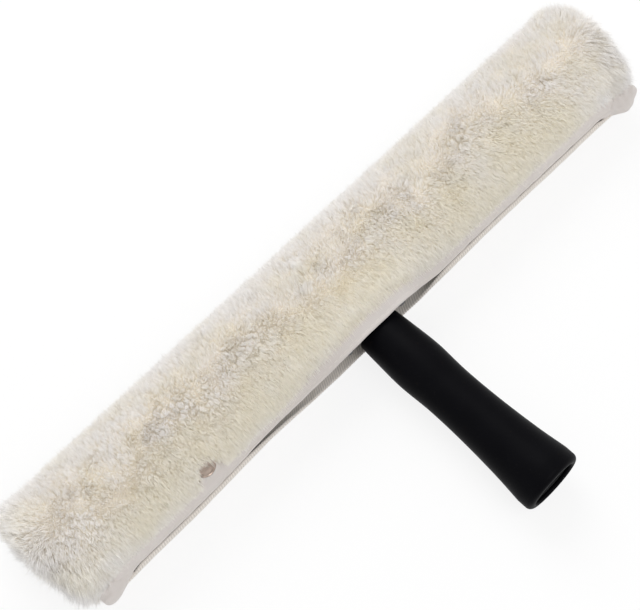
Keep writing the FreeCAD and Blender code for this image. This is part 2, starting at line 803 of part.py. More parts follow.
skin = size("tongue_skin")
back_skin = skin + size("tape_thick")
tongue_top = stud_seat
tongue_back = stud_seat - size("tape_thick")
inner_bend = at_height(back_skin, tongue_back)
outer_bend = at_height(skin, tongue_top)
root_along = size("tongue_root") + tongue_face / sine(twice)
closed_outline(strip, [
    outer_bend,
    (tongue_half, tongue_top),
    (tongue_half, tongue_back),
    inner_bend,
    on_rear_tape(back_skin, root_along),
    on_rear_tape(skin, root_along),
])
strap = pad(tongue, strip, size("tape_width"), both=True)
tongue_tip = tongue_half.number
tip = rounded(
    tongue, strap, tongue_half - size("tongue_tip_flat"),
    lambda edge, middle: close_to(middle.y, tongue_tip) and close_to(abs(middle.x), tongue_tip),
)
stud_hole = new_sketch(tongue, "XY_Plane")
circle(stud_hole, (as_size(0), as_size(0)), size("rivet_radius") + size("hole_fit"))
pocket(tongue, stud_hole, size("tape_thick") * 10, both=True)

doc.recompute()

bodies = [item for item in doc.Objects if item.TypeId == "PartDesign::Body"]
for item in doc.Objects:
    if "Invalid" in item.State or "Error" in item.State:
        raise RuntimeError(f"{item.Label} is {item.State}")
os.makedirs("parts", exist_ok=True)
for body in bodies:
    if body.Shape.isNull() or not body.Shape.isValid():
        raise RuntimeError(f"{body.Label} has no valid shape")
    body.Shape.exportStep(f"parts/{body.Label}.step")
    print(body.Label, len(body.Shape.Solids), round(body.Shape.Volume, 1))
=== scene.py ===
"""Looks of a window scrubber: a plush sleeve with hem tapes and a press snap on a bar with a black grip."""
import math
from functools import partial, reduce

import bmesh
import bpy
import numpy as np
from mathutils import Matrix, Vector


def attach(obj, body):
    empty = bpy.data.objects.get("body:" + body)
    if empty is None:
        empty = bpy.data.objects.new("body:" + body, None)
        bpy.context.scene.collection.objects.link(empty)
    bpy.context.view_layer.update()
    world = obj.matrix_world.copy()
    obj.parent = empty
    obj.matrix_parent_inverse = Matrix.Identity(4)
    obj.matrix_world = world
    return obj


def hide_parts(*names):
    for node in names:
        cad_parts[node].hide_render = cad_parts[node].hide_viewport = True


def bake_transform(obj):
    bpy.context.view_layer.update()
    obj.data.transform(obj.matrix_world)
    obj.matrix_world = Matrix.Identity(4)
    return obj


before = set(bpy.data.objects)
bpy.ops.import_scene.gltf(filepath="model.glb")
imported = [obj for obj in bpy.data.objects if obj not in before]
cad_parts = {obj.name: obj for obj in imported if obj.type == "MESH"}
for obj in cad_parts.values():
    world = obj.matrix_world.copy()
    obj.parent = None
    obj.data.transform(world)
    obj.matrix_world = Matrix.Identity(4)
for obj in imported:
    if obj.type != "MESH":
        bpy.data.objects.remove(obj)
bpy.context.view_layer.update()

MM = 0.001
FULL_TURN = 2 * math.pi
PHASES = 6.3  # random phases are drawn up to this
LUMP_WAVES, LUMP_SPREAD, LUMP_LEVEL = 24, (0.75, 1.5), 6.0
WAVER_WAVES, WAVER_SIZES, WAVER_LEVEL = (61.0, 33.0, 17.0, 8.5), (0.4, 1.0), 2.5
BAR_Y, BAR_Z = 45.75, 15.2  # the bar's axis, in mm; sections below are written about it
BAR = np.array((BAR_Y, BAR_Z))
ALONG_BAR = np.array((1.0, 0.0, 0.0))

# sewn sleeve, in mm: places along the bar and shares of the spread round the handle's neck
TAPE_END = 157.5
TAPE_STATIONS = (
    (-157.5, 0), (-82, 0), (-51.7, 0.38), (-14.7, 1), (14.7, 1), (26.35, 0.5), (38, 0), (157.5, 0),
)
TAPE_WIDTH, TAPE_THICK = 10.5, 1.3
HEM_EDGE, SLIT_HALF, HEM_LEAN = 25.3, 0.4, 55.0
HEM_COS, HEM_SIN = math.cos(math.radians(HEM_LEAN)), math.sin(math.radians(HEM_LEAN))
HEM_EASE, EASE_SAMPLES = 5.0, 15
HEM_BOWS = ((1.5, -68.0, 30.0), (0.7, 70.0, 38.0))  # where the hem is drawn in: depth, middle and reach
NECK_RISE = 12.4
FRONT_NECK_EDGE, FRONT_NECK_LEAN = 25.3, 35.0
REAR_NECK_EDGE, REAR_NECK_LEAN = 22.0, 5.0
# beside the neck the slit lies above the bar's middle: the front tape ends higher, and the rear one rises
# and is folded in to meet it
FRONT_LIFT, FRONT_LIFT_WIDTH = 2.0, 7.0
REAR_LIFT, REAR_FOLD_WIDTH, REAR_LIP = 1.0, 3.5, 0.3
REAR_FOLD_OUTER, REAR_FOLD_INNER = 0.8, 2.66
LIFT_FADE = 14.0  # towards the corners

# press snap: its place, and the directions out of the hem and across it
SNAP_X, SNAP_RISE = -98.6, 15.3
SNAP_AXIS = np.array((0.0, -HEM_SIN, HEM_COS))
SNAP_UP = np.array((0.0, HEM_COS, HEM_SIN))
SNAP_PLACE = np.array((
    SNAP_X, BAR_Y - HEM_EDGE + SNAP_RISE * HEM_COS, BAR_Z + SLIT_HALF + SNAP_RISE * HEM_SIN,
))
DIMPLE_RADIUS, DIMPLE_SHIFT, DIMPLE_STRETCH = 6.5, 3.9, 1.18  # bare of pile, nearer the hem than the snap
DIMPLE_FOOT, DIMPLE_TOP = 0.9 * DIMPLE_RADIUS, 1.06 * DIMPLE_RADIUS
DIMPLE_BROW, DIMPLE_PRESS = 4.0, 0.08  # round it the pile is a little shorter


# meshes

def placed(name, data):
    """An object of the scene that holds this data."""
    made = bpy.data.objects.new(name, data)
    bpy.context.scene.collection.objects.link(made)
    return made


def new_piece(name, points, faces, material=None):
    """An object at the origin whose smooth mesh holds these points, given in mm."""
    mesh = bpy.data.meshes.new(name)
    mesh.from_pydata((np.asarray(points, float).reshape(-1, 3) * MM).tolist(), [], faces)
    mesh.polygons.foreach_set("use_smooth", [True] * len(mesh.polygons))
    if material:
        mesh.materials.append(material)
    mesh.update()
    return placed(name, mesh)


def grid_faces(rows, columns, close_rows=False, close_columns=False):
    """Quads of a grid of points kept row by row; a closed direction joins its last line to its first."""
    grid = np.arange(rows * columns).reshape(rows, columns)
    grid = np.pad(grid, ((0, int(close_rows)), (0, int(close_columns))), "wrap")
    corners = (grid[:-1, :-1], grid[:-1, 1:], grid[1:, 1:], grid[1:, :-1])
    return np.stack(corners, axis=2).reshape(-1, 4).tolist()


def tube_faces(rows, columns, ends=(True, True)):
    """Quads of a tube whose rings are kept row by row, then a face over each end that is closed."""
    starts = (0, (rows - 1) * columns)
    covers = [tuple(range(start, start + columns)) for start, shut in zip(starts, ends) if shut]
    return grid_faces(rows, columns, close_columns=True) + covers


def outward(piece):
    """Join points of a piece that lie on each other, such as those at a pole, and turn its faces outwards."""
    mesh = bmesh.new()
    mesh.from_mesh(piece.data)
    bmesh.ops.remove_doubles(mesh, verts=mesh.verts, dist=1e-7)
    bmesh.ops.recalc_face_normals(mesh, faces=mesh.faces)
    mesh.to_mesh(piece.data)
    mesh.free()
    return piece


def corner_points(mesh):
    """The point that each corner of the faces lies on."""
    points = np.empty(len(mesh.loops), np.int32)
    mesh.loops.foreach_get("vertex_index", points)
    return points


def add_map(mesh, name, uv):
    mesh.uv_layers.new(name=name).uv.foreach_set("vector", uv.astype(np.float32).ravel())


def through(knots, at):
    """A smooth curve through the knots, read at these places, counted in knots."""
    knots = np.asarray(knots, float)
    at = np.clip(np.asarray(at, float), 0, len(knots) - 1)
    start = np.minimum(at.astype(int), len(knots) - 2)
    t = (at - start)[:, None]
    padded = np.concatenate([[2 * knots[0] - knots[1]], knots, [2 * knots[-1] - knots[-2]]])
    a, b, c, d = (padded[start + k] for k in range(4))
    return b + 0.5 * t * (c - a + t * (2 * a - 5 * b + 4 * c - d + t * (3 * (b - c) + d - a)))


def run_along(points):
    """How far along their line each of these points lies."""
    return np.concatenate([[0], np.cumsum(np.linalg.norm(np.diff(points, axis=0), axis=1))])


def ramp(low, high, at):
    """0 at low, 1 at high, eased between and even beyond."""
    t = np.clip((np.asarray(at, float) - low) / (high - low), 0, 1)
    return t * t * (3 - 2 * t)


def boxy(values, power):
    """Sines or cosines pushed outwards, so that the ring they draw is squarer."""
    return np.sign(values) * np.abs(values) ** power


def lumps(points, size, seed, wave):
    """A soft random field over points in mm, about this size either way, with swells of about this wave."""
    draws = np.random.default_rng(seed)
    total = np.zeros(points.shape[:-1])
    for _ in range(LUMP_WAVES):
        way = draws.normal(size=3)
        way *= FULL_TURN / (np.linalg.norm(way) * wave * draws.uniform(*LUMP_SPREAD))
        total += np.sin(points @ way + draws.uniform(0, PHASES))
    return size * (total / LUMP_LEVEL)


def neck_share(x):
    """How far the hem is spread for the handle at each place along the bar, with its corners eased."""
    places, shares = zip(*TAPE_STATIONS)
    nearby = np.asarray(x, float)[..., None] + np.linspace(-HEM_EASE, HEM_EASE, EASE_SAMPLES)
    return np.interp(nearby, places, shares).mean(axis=-1)


# nodes

def feed(node, inputs):
    """Give a node's inputs their values, each a number or another node's output."""
    for key, value in inputs.items():
        if isinstance(value, bpy.types.NodeSocket):
            node.id_data.links.new(value, node.inputs[key])
        else:
            node.inputs[key].default_value = value


def add(tree, kind, inputs=None, **settings):
    """A new node of this kind in a tree."""
    node = tree.nodes.new(kind)
    for key, value in settings.items():
        setattr(node, key, value)
    feed(node, inputs or {})
    return node


def fed(kind, inputs, **settings):
    """A new node of this kind in the tree that its inputs come from."""
    tree = next(value.id_data for value in inputs.values() if isinstance(value, bpy.types.NodeSocket))
    return add(tree, kind, inputs, **settings)


def wire(kind, inputs, **settings):
    """The first output of such a node."""
    return fed(kind, inputs, **settings).outputs[0]


def math_of(operation, *values):
    return wire("ShaderNodeMath", dict(enumerate(values)), operation=operation)


def times(*values):
    return reduce(partial(math_of, "MULTIPLY"), values)


def vector_of(operation, *values):
    made = fed("ShaderNodeVectorMath", dict(enumerate(values)), operation=operation)
    return made.outputs["Value" if operation in ("LENGTH", "DOT_PRODUCT") else "Vector"]


plus, minus = partial(math_of, "ADD"), partial(math_of, "SUBTRACT")
vector_plus, vector_minus = partial(vector_of, "ADD"), partial(vector_of, "SUBTRACT")


def scaled(vector, factor):
    return wire("ShaderNodeVectorMath", {"Vector": vector, "Scale": factor}, operation="SCALE")


def split(vector):
    return fed("ShaderNodeSeparateXYZ", {"Vector": vector}).outputs


def joined(x, y, z):
    return wire("ShaderNodeCombineXYZ", {"X": x, "Y": y, "Z": z})


def named(tree, label, kind="FLOAT_VECTOR"):
    return add(tree, "GeometryNodeInputNamedAttribute", {"Name": label}, data_type=kind).outputs[0]


def moved(geometry, **where):
    """Geometry whose points go to a Position or by an Offset."""
    return wire("GeometryNodeSetPosition", {"Geometry": geometry, **where})


def new_tree(name, sockets):
    """A geometry tree that takes geometry, a material and these values; also the sockets they come from."""
    tree = bpy.data.node_groups.new(name, "GeometryNodeTree")
    tree.interface.new_socket("Geometry", in_out="INPUT", socket_type="NodeSocketGeometry")
    tree.interface.new_socket("Geometry", in_out="OUTPUT", socket_type="NodeSocketGeometry")
    tree.interface.new_socket("Material", in_out="INPUT", socket_type="NodeSocketMaterial")
    for label, value in sockets.items():
        kind = "NodeSocketInt" if isinstance(value, int) else "NodeSocketFloat"
        tree.interface.new_socket(label, in_out="INPUT", socket_type=kind).default_value = value
    return tree, add(tree, "NodeGroupInput").outputs


def end_tree(geometry, material):
    """Every tree ends with plain geometry that wears its material."""
    real = wire("GeometryNodeRealizeInstances", {"Geometry": geometry})
    smooth = wire("GeometryNodeSetShadeSmooth", {"Geometry": real})
    worn = wire("GeometryNodeSetMaterial", {"Geometry": smooth, "Material": material})
    fed("NodeGroupOutput", {"Geometry": worn})
    return geometry.id_data


def grown(base, tree, name, values):
    """Run a tree on a base piece with these input values, and return the result as a plain mesh piece."""
    modifier = base.modifiers.new(tree.name, "NODES")
    modifier.node_group = tree
    for item in tree.interface.items_tree:
        if item.item_type == "SOCKET" and item.in_out == "INPUT" and item.name in values:
            modifier[item.identifier] = values[item.name]
    base.update_tag()
    ready = base.evaluated_get(bpy.context.evaluated_depsgraph_get())
    mesh = bpy.data.meshes.new_from_object(ready)
    mesh.name = name
    bpy.data.objects.remove(base)
    return placed(name, mesh)


# finishes

NOISE_RANGE = (0.3, 0.7)  # most of a noise lies in it


def new_finish(name, **shader):
    """A material with a Principled shader and its even values; also that shader and places on the object."""
    finish = bpy.data.materials.new(name)
    finish.use_nodes = True
    surface = finish.node_tree.nodes["Principled BSDF"]
    for key, value in shader.items():
        surface.inputs[key.replace("_", " ").title().replace("Ior", "IOR")].default_value = value
    return finish, surface, add(finish.node_tree, "ShaderNodeTexCoord").outputs["Object"]


def noise(vector, scale, detail=3.0, roughness=0.5):
    return wire("ShaderNodeTexNoise", {
        "Vector": vector, "Scale": scale, "Detail": detail, "Roughness": roughness,
    })


def between(value, low, high, to_low=0.0, to_high=1.0):
    return wire("ShaderNodeMapRange", {
        "Value": value, "From Min": low, "From Max": high, "To Min": to_low, "To Max": to_high,
    })


def colour_mix(factor, first, second):
    return fed("ShaderNodeMix", {0: factor, 6: first, 7: second}, data_type="RGBA").outputs[2]


def clouded(cloud, first, second):
    """From one colour to another with a noise."""
    return colour_mix(between(cloud, *NOISE_RANGE), first, second)


def bump(height, strength, distance):
    return wire("ShaderNodeBump", {"Height": height, "Strength": strength, "Distance": distance})


def shader_mix(output, factor, first, second):
    """End a tree with two shaders, mixed."""
    mix = fed("ShaderNodeMixShader", {0: factor, 1: first.outputs[0], 2: second.outputs[0]})
    feed(output, {"Surface": mix.outputs[0]})


def pile_finish():
    """Cream plush fibre: yellower at the root and in front, whiter at the tips and over the crown; in front
    partly painted shade.
    """
    finish, surface, place = new_finish(
        "cream_plush_fibre", roughness=0.72, specular_ior_level=0.22, sheen_weight=0.25, sheen_roughness=0.5,
    )
    tree = finish.node_tree
    tip, shade, cream_and_shade = (
        add(tree, "ShaderNodeAttribute", attribute_name=label).outputs["Fac"]
        for label in ("tip", "shade", "cream_and_shade")
    )
    # the cream tone, partly painted shade in front, with random patches, mixes the white and the cream
    # colours
    cream_shade_and_patches = plus(cream_and_shade, between(noise(place, 55.0), 0.35, 0.65, -0.35, 0.35))
    root = colour_mix(cream_shade_and_patches, (0.936, 0.903, 0.848, 1), (0.928, 0.892, 0.80, 1))
    end = colour_mix(cream_shade_and_patches, (0.967, 0.958, 0.952, 1), (0.955, 0.934, 0.875, 1))
    along = colour_mix(between(tip, 0.1, 0.75), root, end)
    tinted = scaled(along, between(shade, 0.0, 1.0, 0.94, 1.03))
    feed(surface, {"Base Color": tinted, "Roughness": between(shade, 0.0, 1.0, 0.62, 0.82)})
    glow = fed("ShaderNodeBsdfTranslucent", {"Color": tinted})
    shader_mix(tree.nodes["Material Output"], 0.5, surface, glow)
    return finish


def tape_finish(name, pale, dark, pitch, slant, groove_shade):
    """Woven cotton tape on its UV map, in metres: threads at this pitch and slant, with painted shade in
    their grooves.
    """
    finish, surface, place = new_finish(
        name, roughness=0.85, specular_ior_level=0.2, sheen_weight=0.3, sheen_roughness=0.6,
    )
    along, across, _ = split(add(finish.node_tree, "ShaderNodeUVMap", uv_map="weave").outputs[0])
    turn = FULL_TURN / pitch
    warp = math_of("SINE", times(plus(along, times(across, slant)), turn))
    weft = math_of("SINE", times(across, turn * 2.6))
    weave = plus(times(warp, 0.75), times(weft, 0.25))
    fuzz = times(noise(place, 1400.0, 2.0), 0.5)
    # painted shade: the colour darkens into the grooves between the threads
    thread = between(weave, -1.0, 1.0, 1.0 - groove_shade, 1.03)
    feed(surface, {
        "Base Color": scaled(clouded(noise(place, 28.0, 4.0), dark, pale), thread),
        "Normal": bump(plus(between(weave, -1.0, 1.0), fuzz), 0.35, 0.00025),
    })
    return finish


def thread_finish():
    """Twisted sewing thread, undyed."""
    finish, surface, place = new_finish("sewing_thread", roughness=0.7, sheen_weight=0.2)
    x, _, z = split(place)
    twist = math_of("SINE", times(plus(x, z), 9000.0))
    feed(surface, {
        "Base Color": colour_mix(between(twist, -1.0, 1.0), (0.76, 0.71, 0.66, 1), (0.84, 0.79, 0.75, 1)),
        "Normal": bump(twist, 0.3, 0.0001),
    })
    return finish


def worn_finish(name, colours, marks, grain, relief, sheen=None, tone=None, streak=1.0, **shader):
    """Marks, drawn out along the bar by streak, shift colour and sheen; a fine grain is raised and toned."""
    finish, surface, place = new_finish(name, **shader)
    place = wire("ShaderNodeMapping", {"Vector": place, "Scale": (streak, 1.0, 1.0)})
    cloud, fine = noise(place, *marks), noise(place, *grain)
    colour = clouded(cloud, *colours)
    if tone:
        colour = scaled(colour, between(fine, *NOISE_RANGE, *tone))
    feed(surface, {"Base Color": colour, "Normal": bump(fine, *relief)})
    if sheen:
        feed(surface, {"Roughness": between(cloud, *sheen)})
    return finish


def metal_finish(name, pale, dark, rough_low, rough_high, streak=1.0):
    return worn_finish(
        name, (dark, pale), marks=(450.0, 5.0, 0.6), grain=(2800.0, 2.0), relief=(0.08, 0.0001),
        sheen=(*NOISE_RANGE, rough_high, rough_low), streak=streak, metallic=1.0, roughness=rough_low,
    )


RIB_PITCH, RIB_SLANT = 0.0013, 0.6
PLUSH = pile_finish()
GROUND = worn_finish(
    "knitted_ground", ((0.66, 0.56, 0.39, 1), (0.74, 0.66, 0.50, 1)), marks=(40.0,), grain=(900.0, 2.0),
    relief=(0.6, 0.0006), roughness=0.9, specular_ior_level=0.15, sheen_weight=0.2,
)
UNDERCOAT_WOOL = worn_finish(
    "dense_pile_foot", ((0.93, 0.885, 0.79, 1), (0.94, 0.905, 0.84, 1)), marks=(60.0,), grain=(1700.0,),
    relief=(0.5, 0.0005), tone=(0.88, 1.03), roughness=0.9, specular_ior_level=0.1, sheen_weight=0.2,
)
# the last value of each tape is how deep the painted shade in its grooves goes
FRONT_TAPE = tape_finish("smooth_hem_tape", (0.77, 0.72, 0.69, 1), (0.73, 0.675, 0.64, 1), 0.00055, 0.0, 0.08)
REAR_TAPE = tape_finish(
    "twill_hem_tape", (0.98, 0.92, 0.855, 1), (0.95, 0.88, 0.80, 1), RIB_PITCH, RIB_SLANT, 0.30,
)
THREAD = thread_finish()
RUBBER = worn_finish(
    "soft_black_rubber", ((0.0014, 0.0014, 0.0022, 1), (0.0026, 0.0026, 0.0036, 1)), marks=(70.0, 5.0, 0.6),
    grain=(2600.0, 2.0), relief=(0.12, 0.00012), sheen=(0.25, 0.75, 0.40, 0.56),
    roughness=0.45, specular_ior_level=0.04,
)
PLASTIC = worn_finish(
    "matte_black_plastic", ((0.006, 0.006, 0.007, 1), (0.011, 0.011, 0.012, 1)), marks=(120.0, 4.0),
    grain=(1500.0,), relief=(0.2, 0.0002), sheen=(*NOISE_RANGE, 0.5, 0.66),
    roughness=0.55, specular_ior_level=0.4,
)
NICKEL = metal_finish("worn_nickel", (0.52, 0.42, 0.355, 1), (0.21, 0.165, 0.135, 1), 0.20, 0.36)
BLACK_STEEL = metal_finish("black_oxide_steel", (0.085, 0.085, 0.09, 1), (0.05, 0.05, 0.055, 1), 0.35, 0.5)
ALUMINIUM = metal_finish("mill_aluminium", (0.80, 0.81, 0.82, 1), (0.66, 0.67, 0.69, 1), 0.28, 0.42, 0.05)


# plush sleeve: where its knitted ground lies and where the tips of its pile end, from the front hem over the
# crown, round the nose and along the sole to the rear hem. Each row: ground, tips, comb towards the next row
SECTION = np.array((
    (-19.4, 9.0, -23.2, 11.6, -0.9),
    (-18.9, 11.6, -21.8, 15.4, -1.1),
    (-16.6, 14.2, -19.0, 18.6, -1.1),
    (-11.2, 16.0, -13.2, 21.4, -0.8),
    (-4.0, 16.6, -5.0, 23.2, -0.72),
    (4.0, 16.6, 4.0, 23.6, -0.55),
    (12.4, 15.8, 14.5, 23.0, 0.1),
    (19.4, 13.0, 23.2, 19.8, 0.4),
    (24.6, 8.0, 31.6, 13.0, 0.35),
    (26.6, 2.2, 35.8, 3.4, 0.2),
    (25.4, -4.0, 33.6, -6.2, 0.2),
    (21.0, -8.8, 26.5, -12.0, 0.3),
    (13.0, -11.2, 18.0, -14.6, 0.5),
    (4.0, -11.8, 5.0, -14.9, 0.5),
    (-6.0, -11.8, -6.5, -14.9, 0.4),
    (-13.5, -11.4, -14.0, -14.7, 0.3),
    (-17.6, -10.4, -19.0, -13.2, 0.3),
    (-19.4, -9.0, -21.6, -10.8, 0.3),
))
# ground and tips of the rows that differ where the hems are spread round the neck or sewn shut at the ends
NECK_ROWS = {
    0: (-16.9, 18.2, -21.4, 19.6), 1: (-14.6, 19.2, -18.4, 22.2), 2: (-11.4, 19.4, -14.4, 23.5),
    3: (-7.5, 19.0, -9.6, 24.2), 4: (-2.5, 18.0, -3.6, 24.2), 5: (4.5, 16.8, 4.2, 23.9),
    14: (-3.5, -11.9, -3.6, -14.9), 15: (-7.4, -12.1, -7.6, -14.9), 16: (-9.4, -12.3, -9.8, -14.9),
    17: (-10.8, -12.5, -11.8, -14.8),
}
END_ROWS = {
    0: (-20.2, 1.2, -22.0, 2.4), 1: (-20.0, 6.6, -23.0, 9.2),
    16: (-20.0, -6.4, -22.6, -8.6), 17: (-20.2, -1.2, -22.0, -2.4),
}
END_SEWN = (150.0, 159.0)
# the closed ends: ground's place along the bar, its share of the section, and the same for the tips
END_STEPS = (
    (158.0, 1.0, 160.5, 1.0), (160.5, 0.99, 166.0, 1.02), (162.5, 0.96, 170.5, 1.02),
    (163.8, 0.89, 174.0, 0.99), (164.6, 0.74, 177.0, 0.90), (164.9, 0.50, 178.8, 0.66),
    (165.0, 0.25, 179.4, 0.35), (165.0, 0.02, 179.5, 0.03),
)
# the pile of the ends reaches less far beside the hem: how much, and over which places across and along
END_SLANT, SLANT_ACROSS, SLANT_ALONG = 4.2, (14.0, -20.0), (158.0, 170.0)
GROUND_MIDDLE, TIPS_MIDDLE = np.array((3.0, 1.5)), np.array((6.0, 3.0))
ROWS, STRAIGHT_STEPS = 86, 150
LAST_ROW = len(SECTION) - 1
ROW_AT = np.linspace(0, LAST_ROW, ROWS)


def section_at(x):
    """Ground and tips of the sleeve's section at one place along the bar."""
    rows = SECTION[:, :4].copy()
    for changed, share in ((NECK_ROWS, neck_share(x)), (END_ROWS, ramp(*END_SEWN, abs(x)))):
        for row, there in changed.items():
            rows[row] += share * (there - rows[row])
    return rows[:, :2], rows[:, 2:]


def sleeve_grid():
    """Points of the ground and of the tips, place by place along the bar and row by row round it, in mm."""
    end = END_STEPS[0][0]
    straight = [(x, 1.0, x, 1.0) for x in np.linspace(-end, end, STRAIGHT_STEPS)][1:-1]
    left = [(-a, b, -c, d) for a, b, c, d in reversed(END_STEPS)]
    ground_points, tip_points = [], []
    for ground_x, ground_share, tips_x, tips_share in left + straight + list(END_STEPS):
        ground, tips = section_at(ground_x)
        ground = GROUND_MIDDLE + ground_share * (through(ground, ROW_AT) - GROUND_MIDDLE)
        tips = TIPS_MIDDLE + tips_share * (through(tips, ROW_AT) - TIPS_MIDDLE)
        ground_points.append(np.column_stack([np.full(ROWS, ground_x), ground + BAR]))
        slant = END_SLANT * ramp(*SLANT_ACROSS, tips[:, 0]) * ramp(*SLANT_ALONG, abs(tips_x))
        tip_points.append(np.column_stack([tips_x - math.copysign(1.0, tips_x) * slant, tips + BAR]))
    return np.array(ground_points), np.array(tip_points)


GROUND_GRID, TIPS_GRID = sleeve_grid()
LAST_STEP = len(GROUND_GRID) - 1

# pile, as (row, value): the share that is undercoat, the cream tone with its painted shade, how tufted it is,
# how far its parting wanders
UNDERCOAT_SHARE = (
    (0, 0.12), (1, 0.42), (3, 0.55), (4.5, 0.66), (6.8, 0.66), (8, 0.55), (12, 0.55), (16, 0.4), (17, 0.12),
)
# the front rows creamier, so yellower and a little darker: partly the plush's own tone, partly painted shade
# on the front, which faces away from the key light, against a whiter crown
CREAM_AND_SHADE_TONE = ((0, 0.8), (2.4, 1.1), (3.6, 0.8), (5, 0.15), (7, 0.0), (9, 0.05), (12, 0.3), (17, 0.5))
TUFTING = ((0, 0.12), (2.4, 0.22), (3.7, 0.55), (4.9, 0.9), (7.2, 0.9), (8.1, 0.6), (9.2, 0.35), (17, 0.3))
PARTING_WANDER = ((2, 0), (4, 1), (7, 1), (9, 0))
# unevenness: size, seed and wave
UNDERCOAT_LUMPS, TUFT_LUMPS = (0.12, 4, 9.0), (0.3, 15, 22.0)
PARTING_LUMPS = ((1.2, 8, 46.0), (0.8, 9, 15.0))
TUFT_LEVEL, TUFT_RANGE = 0.78, (0.2, 1.2)
# towards the ends: less of the cream tone and its painted shade, more tufts
END_WHITE, WHITE_PLACES, END_TUFT, TUFT_PLACES = 0.8, (115, 162), 0.5, (150, 166)
UNDERCOAT_SINK = 0.94  # the visible undercoat lies a little under the fibres' feet
# small places along the crown where its locks open: how many, about which row, and how wide in mm
LOCKS, LOCK_MARGIN, LOCK_SIZES = 70, 14, (1.4, 2.6)
LOCK_ROW, LOCK_SPREAD, LOCK_ROWS = 5.7, 1.0, (3.4, 8.0)
# how far the undercoat sinks and the pile leans where locks open, and painted shade there: a creamier tint
LOCK_SINK, LOCK_LEAN, LOCK_SHADE_TINT = 0.25, 0.6, 0.2


def by_row(table):
    return np.interp(ROW_AT, *zip(*table))


def lock_openings():
    """How open the locks are at each point of the grid, and which way the pile falls there."""
    draws = np.random.default_rng(77)
    steps = np.linspace(LOCK_MARGIN, LAST_STEP + 1 - LOCK_MARGIN, LOCKS).astype(int)
    steps = steps + draws.integers(-2, 3, LOCKS)
    rows = np.clip(draws.normal(LOCK_ROW, LOCK_SPREAD, LOCKS), *LOCK_ROWS) / LAST_ROW * (ROWS - 1)
    opened, falls = np.zeros(GROUND_GRID.shape[:2]), np.zeros_like(GROUND_GRID)
    for step, row, size in zip(steps, rows.astype(int), draws.uniform(*LOCK_SIZES, LOCKS)):
        apart = GROUND_GRID - GROUND_GRID[step, row]
        near = np.exp(-(apart ** 2).sum(axis=2) / size ** 2)
        opened += near
        falls += near[..., None] * apart / size
    return np.clip(opened, 0, 1), falls


def undercoat_grid():
    """The dense lower part of the pile, which hides its ground: up to where single fibres show."""
    apart = GROUND_GRID - (SNAP_PLACE - DIMPLE_SHIFT * SNAP_UP)
    from_snap = np.hypot(apart[..., 0] / DIMPLE_STRETCH, apart @ SNAP_UP)
    thick = ramp(DIMPLE_FOOT, DIMPLE_TOP, from_snap)
    uneven = 1 + lumps(TIPS_GRID, *UNDERCOAT_LUMPS)
    share = by_row(UNDERCOAT_SHARE) * thick * uneven * (1 - LOCK_SINK * LOCK_OPEN)
    beside = 1 - ramp(DIMPLE_RADIUS, DIMPLE_RADIUS + DIMPLE_BROW, from_snap)
    return GROUND_GRID + share[..., None] * (TIPS_GRID - GROUND_GRID), thick, beside


def pile_fields():
    """What each point of the undercoat says about its fibres, such as reach to the tips, comb and tufting."""
    reach = (TIPS_GRID - ROOT_GRID) * (1 - DIMPLE_PRESS * BESIDE_SNAP[..., None])
    length = np.linalg.norm(reach, axis=2, keepdims=True)
    along = np.gradient(ROOT_GRID, axis=1)
    along /= np.maximum(np.linalg.norm(along, axis=2, keepdims=True), 1e-6)
    wander = sum(lumps(ROOT_GRID, *waves) for waves in PARTING_LUMPS)
    at = ROW_AT + wander * by_row(PARTING_WANDER)
    comb = along * np.interp(at, range(len(SECTION)), SECTION[:, 4])[..., None] + LOCK_LEAN * LOCK_FALL
    from_middle = abs(ROOT_GRID[..., 0])
    # the cream tone, partly painted shade in front and less towards the ends, plus painted shade as a
    # creamier tint where the locks open
    cream_and_shade = by_row(CREAM_AND_SHADE_TONE) * (1 - END_WHITE * ramp(*WHITE_PLACES, from_middle)) + LOCK_SHADE_TINT * LOCK_OPEN
    # brushed smooth in front and over the nose, tufted along the crown and round the ends
    patchy = np.clip(TUFT_LEVEL + lumps(ROOT_GRID, *TUFT_LUMPS), *TUFT_RANGE)
    tuft = np.maximum(by_row(TUFTING) * patchy, END_TUFT * ramp(*TUFT_PLACES, from_middle))
    return {"reach": reach, "comb": comb * length, "cream_and_shade": cream_and_shade, "thick": THICK, "tuft": tuft}


LOCK_OPEN, LOCK_FALL = lock_openings()
ROOT_GRID, THICK, BESIDE_SNAP = undercoat_grid()
FIELDS = pile_fields()


def row_near(knot):
    return int(round(knot / LAST_ROW * (ROWS - 1)))


def ground_patch(name, rows, steps):
    """A patch of the undercoat between two rows and two steps along the bar, with its fibres' fields."""
    part = tuple(slice(first, last + 1) for first, last in (steps, map(row_near, rows)))
    points = ROOT_GRID[part]
    patch = new_piece(name, points, grid_faces(*points.shape[:2]))
    for label, field in FIELDS.items():
        kind, key, factor = ("FLOAT_VECTOR", "vector", MM) if field.ndim == 3 else ("FLOAT", "value", 1.0)
        made = patch.data.attributes.new(label, kind, "POINT")
        made.data.foreach_set(key, (field[part] * factor).astype(np.float32).ravel())
    return patch


# fibres: clouds that sway them, as scale, detail and shift; ranges and spreads that are drawn from; how long
# they are, how far they bow and how thick they lie
BROAD_SWIRL, SMALL_SWIRL, TUFT_CLOUD = (60.0, 1.0, 0.0), (230.0, 2.0, 3.0), (130.0, 2.0, 7.0)
BROAD_SIZE, SMALL_SIZE, TUFT_MIDDLE = 1.4, 2.2, 0.55
PULL_RANGE, WIDTH_RANGE = (0.55, 1.15), (0.7, 1.25)
TIP_SPREAD, BOW_SPREAD, FACING_SPREAD = 0.20, 0.13, 0.55
LENGTH_LOW, LENGTH_SPREAD, STRAY_LENGTH, STRAY_RARITY = 0.85, 0.10, 0.36, 9.0
BOW_RISE, BLADE_TAPER, LYING_SPREAD = 0.62, 3.0, 0.0005


